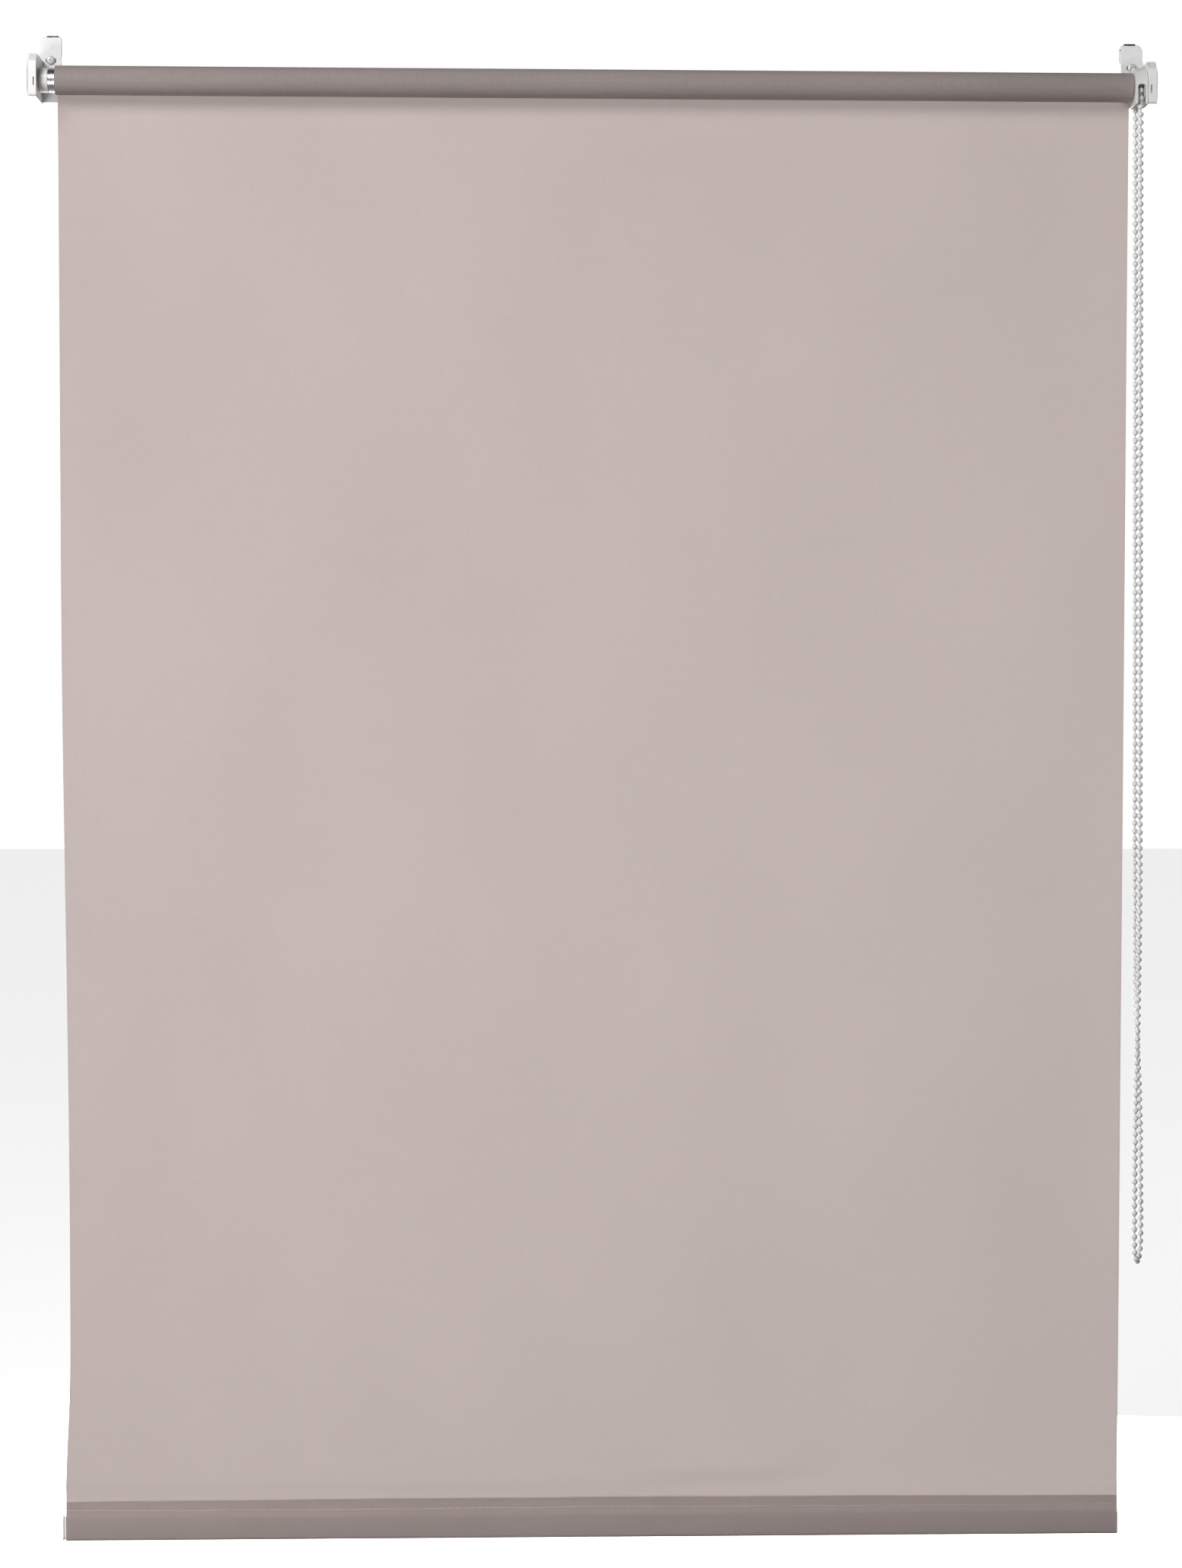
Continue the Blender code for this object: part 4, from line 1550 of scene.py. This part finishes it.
    def hem(self) -> bpy.types.Object:
        """The sheet's end, folded back round the bar and stitched down.

        Returns:
            The hem.
        """
        top = self.hem_high.z
        thick = self.cloth_thick
        deep = (self.hem_high.y - self.hem_low.y) / 2 - thick / 2
        bottom = self.hem_low.z + thick / 2
        pinch = top - self.hem_flap
        y = self.sheet_y
        round_low = deep * 0.85
        lap = thick * 1.2
        path = [(y, top), (y, top - 0.003), (y, top - 0.006)]
        front = ((0.04, -0.45), (0.20, 0.0), (0.62, 0.5), (0.92, 1.0))
        path += [(y - deep * s, pinch - 0.0036 * t) for s, t in front]
        path += arc((y - deep + round_low, bottom + round_low), round_low, 180, 270, 8)
        path += arc((y + deep - round_low, bottom + round_low), round_low, 270, 360, 8)
        path += [(y + deep, pinch - 0.0060)]
        back = ((0.92, 1.0), (0.62, 0.5), (0.18, 0.0))
        path += [(y + lap + (deep - lap) * s, pinch - 0.0036 * t) for s, t in back]
        path += [(y + lap, top - 0.006), (y + lap, top - 0.003), (y + lap, top)]
        whole = length_of(path)

        def shift(x: float, along: float) -> tuple[float, float]:
            """The raw edge wanders, and the pocket's faces are slightly uneven.

            Args:
                x: the place across.
                along: the way along the folded line.

            Returns:
                The move in y and z.
            """
            left = whole - along
            rise = self.flap_rise(x) * max(0.0, 1 - left / 0.006)
            if along < 0.0075 or left < 0.0075:
                return 0.0, rise
            return ripple(x + along * 0.6, ((0.00010, 0.23, 1.0), (0.00007, 0.061, 0.2))), rise

        def ends(share: float, along: float) -> float:
            """The hem's ends are cut straight."""
            return self.off_middle + share * self.half

        mesh = folded_cloth("hem", path, ends, thick, 160, shift, self.drop)
        hem = show("stitched_hem", mesh, self.palette.cloth)
        return self.frame.place(hem, "hem_pocket", "blind_fabric")

    def stitch_tree(self) -> bpy.types.NodeTree:
        """The tree that sews a row of stitches along a line.

        Returns:
            The tree.
        """
        work = GeometryWork(
            "stitches_on_a_line",
            [
                ("Stitches", "NodeSocketInt"),
                ("Stitch Length", "NodeSocketFloat"),
                ("Thread Radius", "NodeSocketFloat"),
                ("Lift", "NodeSocketFloat"),
                ("Finish", "NodeSocketMaterial"),
            ],
        )
        spots = work.spaced(work.given["Line"], "Stitches")
        half, lift = work.value("Stitch Length") * 0.5, work.value("Lift")
        points = []
        for along, up in ((half * -1.0, lift * -0.8), (half * 0.0, lift * 1.6), (half, lift * -0.8)):
            points.append(work.node("ShaderNodeCombineXYZ", {}, {"X": along, "Y": up}).outputs[0])
        bow = {"Resolution": 6, "Start": points[0], "Middle": points[1], "End": points[2]}
        loop = work.swept(work.node("GeometryNodeCurveQuadraticBezier", {}, bow).outputs[0], 6)
        sway = work.uneven((0.0, -0.05, 0.0), (0.0, 0.05, 0.0), 3)
        tilt = {"Rotation": work.along_line("X"), "Rotate By": sway}
        turn = work.node("FunctionNodeRotateRotation", {"rotation_space": "LOCAL"}, tilt).outputs[0]
        size = work.uneven((0.88, 0.7, 0.9), (1.06, 1.2, 1.1), 5)
        return work.finish([work.repeated(spots, loop, turn, size)])

    def stitches(self) -> list[bpy.types.Object]:
        """The seam that holds the hem, on both faces of the cloth.

        Returns:
            The two rows of stitches.
        """
        tree = self.stitch_tree()
        rows = []
        faces = (("front", -1, self.cloth_thick / 2), ("back", 1, self.cloth_thick * 1.7))
        for label, face, out in faces:
            line = []
            for step in range(81):
                x = self.off_middle + (self.half - 0.003) * (2 * step / 80 - 1)
                wander = ripple(x, ((0.00035, 0.55, 1.2), (0.00012, 0.13, 0.5)))
                line.append((x, self.sheet_y + face * out, self.hem_high.z - self.stitch_drop + wander))
            values = {
                "Stitches": round(length_of(line) / self.stitch_pitch),
                "Stitch Length": self.stitch_long,
                "Thread Radius": self.thread_radius,
                "Lift": face * self.thread_radius,
                "Finish": self.palette.thread,
            }
            row = show(f"hem_stitches_{label}", run_along(f"stitches_{label}", line, tree, values))
            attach(row, self.frame.body_of("hem_pocket"))
            rows.append(row)
        return rows

    def tube(self) -> bpy.types.Object:
        """The roller tube, turned fine enough to shine evenly.

        Returns:
            The tube.
        """
        low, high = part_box("roller_tube")
        inner = self.tube_radius - self.tube_wall
        profile = [(low.x, self.tube_radius), (high.x, self.tube_radius), (high.x, inner), (low.x, inner)]
        tube = turned(profile, "X", (self.axis.y, self.axis.z), self.tube_sides)
        mesh = ease_edges(tube, 0.0001, 1)
        return self.frame.place(show("drawn_tube", mesh, self.palette.aluminium), "roller_tube", "aluminium")

    def dress(self) -> None:
        """Finishes the tube, the bar and its end plugs."""
        self.tube()
        self.frame.eased("bottom_bar", "bottom_bar_extrusion", self.palette.aluminium, "aluminium", 0.0002)
        for side in Side:
            node = f"bar_plug_{side.word}"
            self.frame.eased(node, f"{node}_moulded", self.palette.moulding, "white_plastic", 0.0002)


@dataclass
class WindowMount:
    """One end's hook, pad, screw, bracket and cover. Heights are measured from the roll's axis."""

    frame: Frame
    palette: Palette
    side: Side
    cover_top: float = 0.0177
    cover_bottom: float = -0.0145
    cover_wall: float = 0.0008
    cover_hollow: float = 0.0046
    cover_rim: float = 0.0058
    dome_power: float = 2.4
    dome_steps: int = 16
    bevel_run: float = 0.0072
    bevel_drop: float = 0.0066
    slit: tuple[float, float] = (0.0010, 0.0062)
    slit_place: tuple[float, float] = (0.0018, -0.0035)
    strip_span: tuple[float, float] = (0.0023, 0.0107)
    strip_thick: float = 0.0010
    strip_lap: float = 0.0075
    strip_bend: float = 0.0020
    sash: float = 0.0165
    lip_drop: float = 0.0110
    plate_thick: float = 0.0012
    shank_radius: float = 0.0015
    head_tall: float = 0.0017
    plate_corners: tuple[float, float, float, float] = (0.0010, 0.0010, 0.0045, 0.0013)

    def __post_init__(self) -> None:
        """Takes the places of the end's pieces from the frame."""
        word = self.side.word
        self.cover_low, self.cover_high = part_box(f"cover_{word}")
        self.hook_low, self.hook_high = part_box(f"hook_{word}")
        self.axis = Curtain.axis_place()
        near, far = sorted((abs(self.cover_low.x), abs(self.cover_high.x)))
        self.near, self.far = near, far

    def out(self, distance: float) -> float:
        """x at a distance from the blind's middle, on this side."""
        return self.side.value * distance

    def cover_outline(self, inset: float) -> list[tuple[float, float]]:
        """The cover's outline in YZ: bevelled at its upper front, square at its back.

        Args:
            inset: how far inside the cover it lies.

        Returns:
            The outline's points.
        """
        front, back = self.cover_low.y + inset, self.cover_high.y - inset * 0.02
        top, bottom = self.axis.z + self.cover_top - inset, self.axis.z + self.cover_bottom + inset
        run, drop = self.bevel_run - inset * 0.4, self.bevel_drop - inset * 0.4
        tight = 0.0003
        corners = [
            (front, bottom, 0.0022 - inset * 0.5),
            (back, bottom, tight),
            (back, top, tight),
            (front + run, top, 0.0030),
            (front, top - drop, 0.0042),
        ]
        return filleted(corners, 8)

    def cover(self) -> bpy.types.Object:
        """The domed cap over the bracket's side, with a slit in its front.

        Returns:
            The cover.
        """
        outline, inner = self.cover_outline(0.0), self.cover_outline(self.cover_wall)
        middle = Vector(((self.cover_low.y + self.cover_high.y) / 2, self.axis.z + 0.0015))
        rim, dome = self.near + self.cover_rim, self.far - self.near - self.cover_rim
        levels = [(self.near, outline, 1.0), (self.near + self.cover_rim * 0.5, outline, 1.0)]
        for step in range(self.dome_steps):
            share = 1 - (step / self.dome_steps) ** 1.5 * 0.94
            levels.append((rim + dome * (1 - share**self.dome_power), outline, share))
        data = bmesh.new()

        def ring(x: float, line: Sequence[tuple[float, float]], share: float) -> list[bmesh.types.BMVert]:
            """One ring of corners, drawn in towards the cover's middle."""
            return [
                data.verts.new(
                    (self.out(x), middle.x + (u - middle.x) * share, middle.y + (v - middle.y) * share)
                )
                for u, v in line
            ]

        outside = [ring(*level) for level in levels]
        inside = [ring(x, inner, 1.0) for x in (self.near + self.cover_hollow, self.near)]
        rings = [*inside, *outside]
        for lower, upper in zip(rings, rings[1:]):
            band(data, lower, upper)
        data.faces.new(rings[0])
        data.faces.new(rings[-1])
        bmesh.ops.recalc_face_normals(data, faces=data.faces)
        wide, tall = self.slit
        x, z = self.near + self.slit_place[0], self.axis.z + self.slit_place[1]
        across = self.out(x)
        corner, opposite = (across - wide / 2, z - tall / 2), (across + wide / 2, z + tall / 2)
        hole = box_corners(corner, opposite, [wide * 0.4] * 4)
        front = self.cover_low.y
        cutter = prism(filleted(hole, 5), "XZ", front - 0.001, front + self.cover_wall + 0.001)
        shell = cut(scratch(data), [cutter])
        mesh = ease_edges(shell, 0.00035, 3, 50)
        piece = show(f"cover_{self.side.word}_shell", mesh, self.palette.moulding)
        return self.frame.place(piece, f"cover_{self.side.word}", "white_plastic")

    def hook(self) -> bpy.types.Object:
        """The painted plate behind the bracket, with the strip that bends back over the sash.

        Returns:
            The hook.
        """
        plate_back = -self.plate_thick
        front = plate_back - self.plate_thick
        low_x, high_x = sorted((abs(self.hook_low.x), abs(self.hook_high.x)))
        top, bottom = 0.0002, self.axis.z - 0.0110
        outer, inner = self.plate_corners[2:]
        right = self.side is Side.RIGHT
        edges = sorted((self.out(low_x), self.out(high_x)))
        radii = [0.001, 0.001, outer if right else inner, inner if right else outer]
        outline = filleted(box_corners((edges[0], bottom), (edges[1], top - 0.0007), radii), 8)
        plate = ease_edges(prism(outline, "XZ", front, plate_back), 0.00030, 3)
        bend, thick = self.strip_bend, self.strip_thick
        face = front + 0.00010
        rise = self.hook_high.z
        line = [(face, rise - bend - self.strip_lap), (face, rise - bend)]
        line += arc((face + bend, rise - bend), bend, 180, 90, 10)[1:]
        far = self.sash + thick
        line += [(far - bend, rise)]
        line += arc((far - bend, rise - bend), bend, 90, 0, 10)[1:]
        line += [(far, rise - self.lip_drop)]
        inside = []
        for i, here in enumerate(line):
            before, after = Vector(line[max(i - 1, 0)]), Vector(line[min(i + 1, len(line) - 1)])
            run = (after - before).normalized()
            inside.append((here[0] + run.y * thick, here[1] - run.x * thick))
        span = [self.out(low_x + edge) for edge in self.strip_span]
        strip = ease_edges(prism([*line, *reversed(inside)], "YZ", *span), 0.00022, 2, 50)
        piece = show(f"steel_hook_{self.side.word}", joined([plate, strip]), self.palette.painted)
        # Painted shade: the strip's top, from the start of its bend, takes bright steel in place of the white
        # paint, so that the bend shows as the dark band of shade along it.
        piece.data.materials.append(self.palette.steel)
        for face in piece.data.polygons:
            if face.center.z > rise - bend - 0.0010:
                face.material_index = 1
        return self.frame.place(piece, f"hook_{self.side.word}", "white_steel")

    def screw(self) -> bpy.types.Object:
        """The clamp screw: a low pan head with a cross recess.

        Returns:
            The screw.
        """
        node = f"clip_screw_{self.side.word}"
        low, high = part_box(node)
        x, z = (low.x + high.x) / 2, (low.z + high.z) / 2
        head, shank, tall = (high.x - low.x) / 2, self.shank_radius, self.head_tall
        dome = ((0.00018, 0.45), (0.00050, 0.78), (0.00095, 0.96))
        crown = [(low.y + back, head * share) for back, share in dome]
        profile = [
            (low.y, 0.0),
            *crown,
            (low.y + tall * 0.80, head),
            (low.y + tall, head),
            (low.y + tall, shank),
            (high.y, shank),
            (high.y, 0.0),
        ]
        long, wide, deep = head * 1.05, head * 0.24, low.y + tall * 0.7
        cross = []
        for half_x, half_z in ((long / 2, wide / 2), (wide / 2, long / 2)):
            corners = box_corners((x - half_x, z - half_z), (x + half_x, z + half_z), [wide * 0.3] * 4)
            cross.append(prism(filleted(corners, 3), "XZ", low.y - 0.001, deep))
        mesh = ease_edges(cut(turned(profile, "Y", (x, z), 48), cross), 0.00008, 2, 45)
        piece = show(f"pan_screw_{self.side.word}", mesh, self.palette.zinc)
        return self.frame.place(piece, node, "bright_steel")

    def dress(self) -> None:
        """Builds the cover, hook and screw, and finishes the other pieces with their edges eased."""
        word, frame, palette = self.side.word, self.frame, self.palette
        self.cover()
        self.hook()
        self.screw()
        frame.eased(f"bracket_{word}", f"bracket_{word}_moulded", palette.moulding, "white_plastic", 0.00025)
        pad = frame.eased(f"clip_pad_{word}", f"foam_pad_{word}", palette.foam, "foam", 0.0002)


def main() -> None:
    """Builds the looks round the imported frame."""
    logging.basicConfig(level=logging.INFO, format="%(name)s: %(message)s")
    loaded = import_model()
    cad_low, cad_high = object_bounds()
    frame = Frame(loaded)
    Studio().build(cad_low)
    palette = Palette()
    drive = BeadDrive(frame, palette)
    drive.build()
    curtain = Curtain(frame, palette)
    curtain.build()
    mounts = [WindowMount(frame, palette, side) for side in Side]
    for part in (drive, IdleEnd(frame, palette), curtain, *mounts):
        part.dress()
        LOG.info("%s dressed", type(part).__name__)


if __name__ == "__main__":
    main()
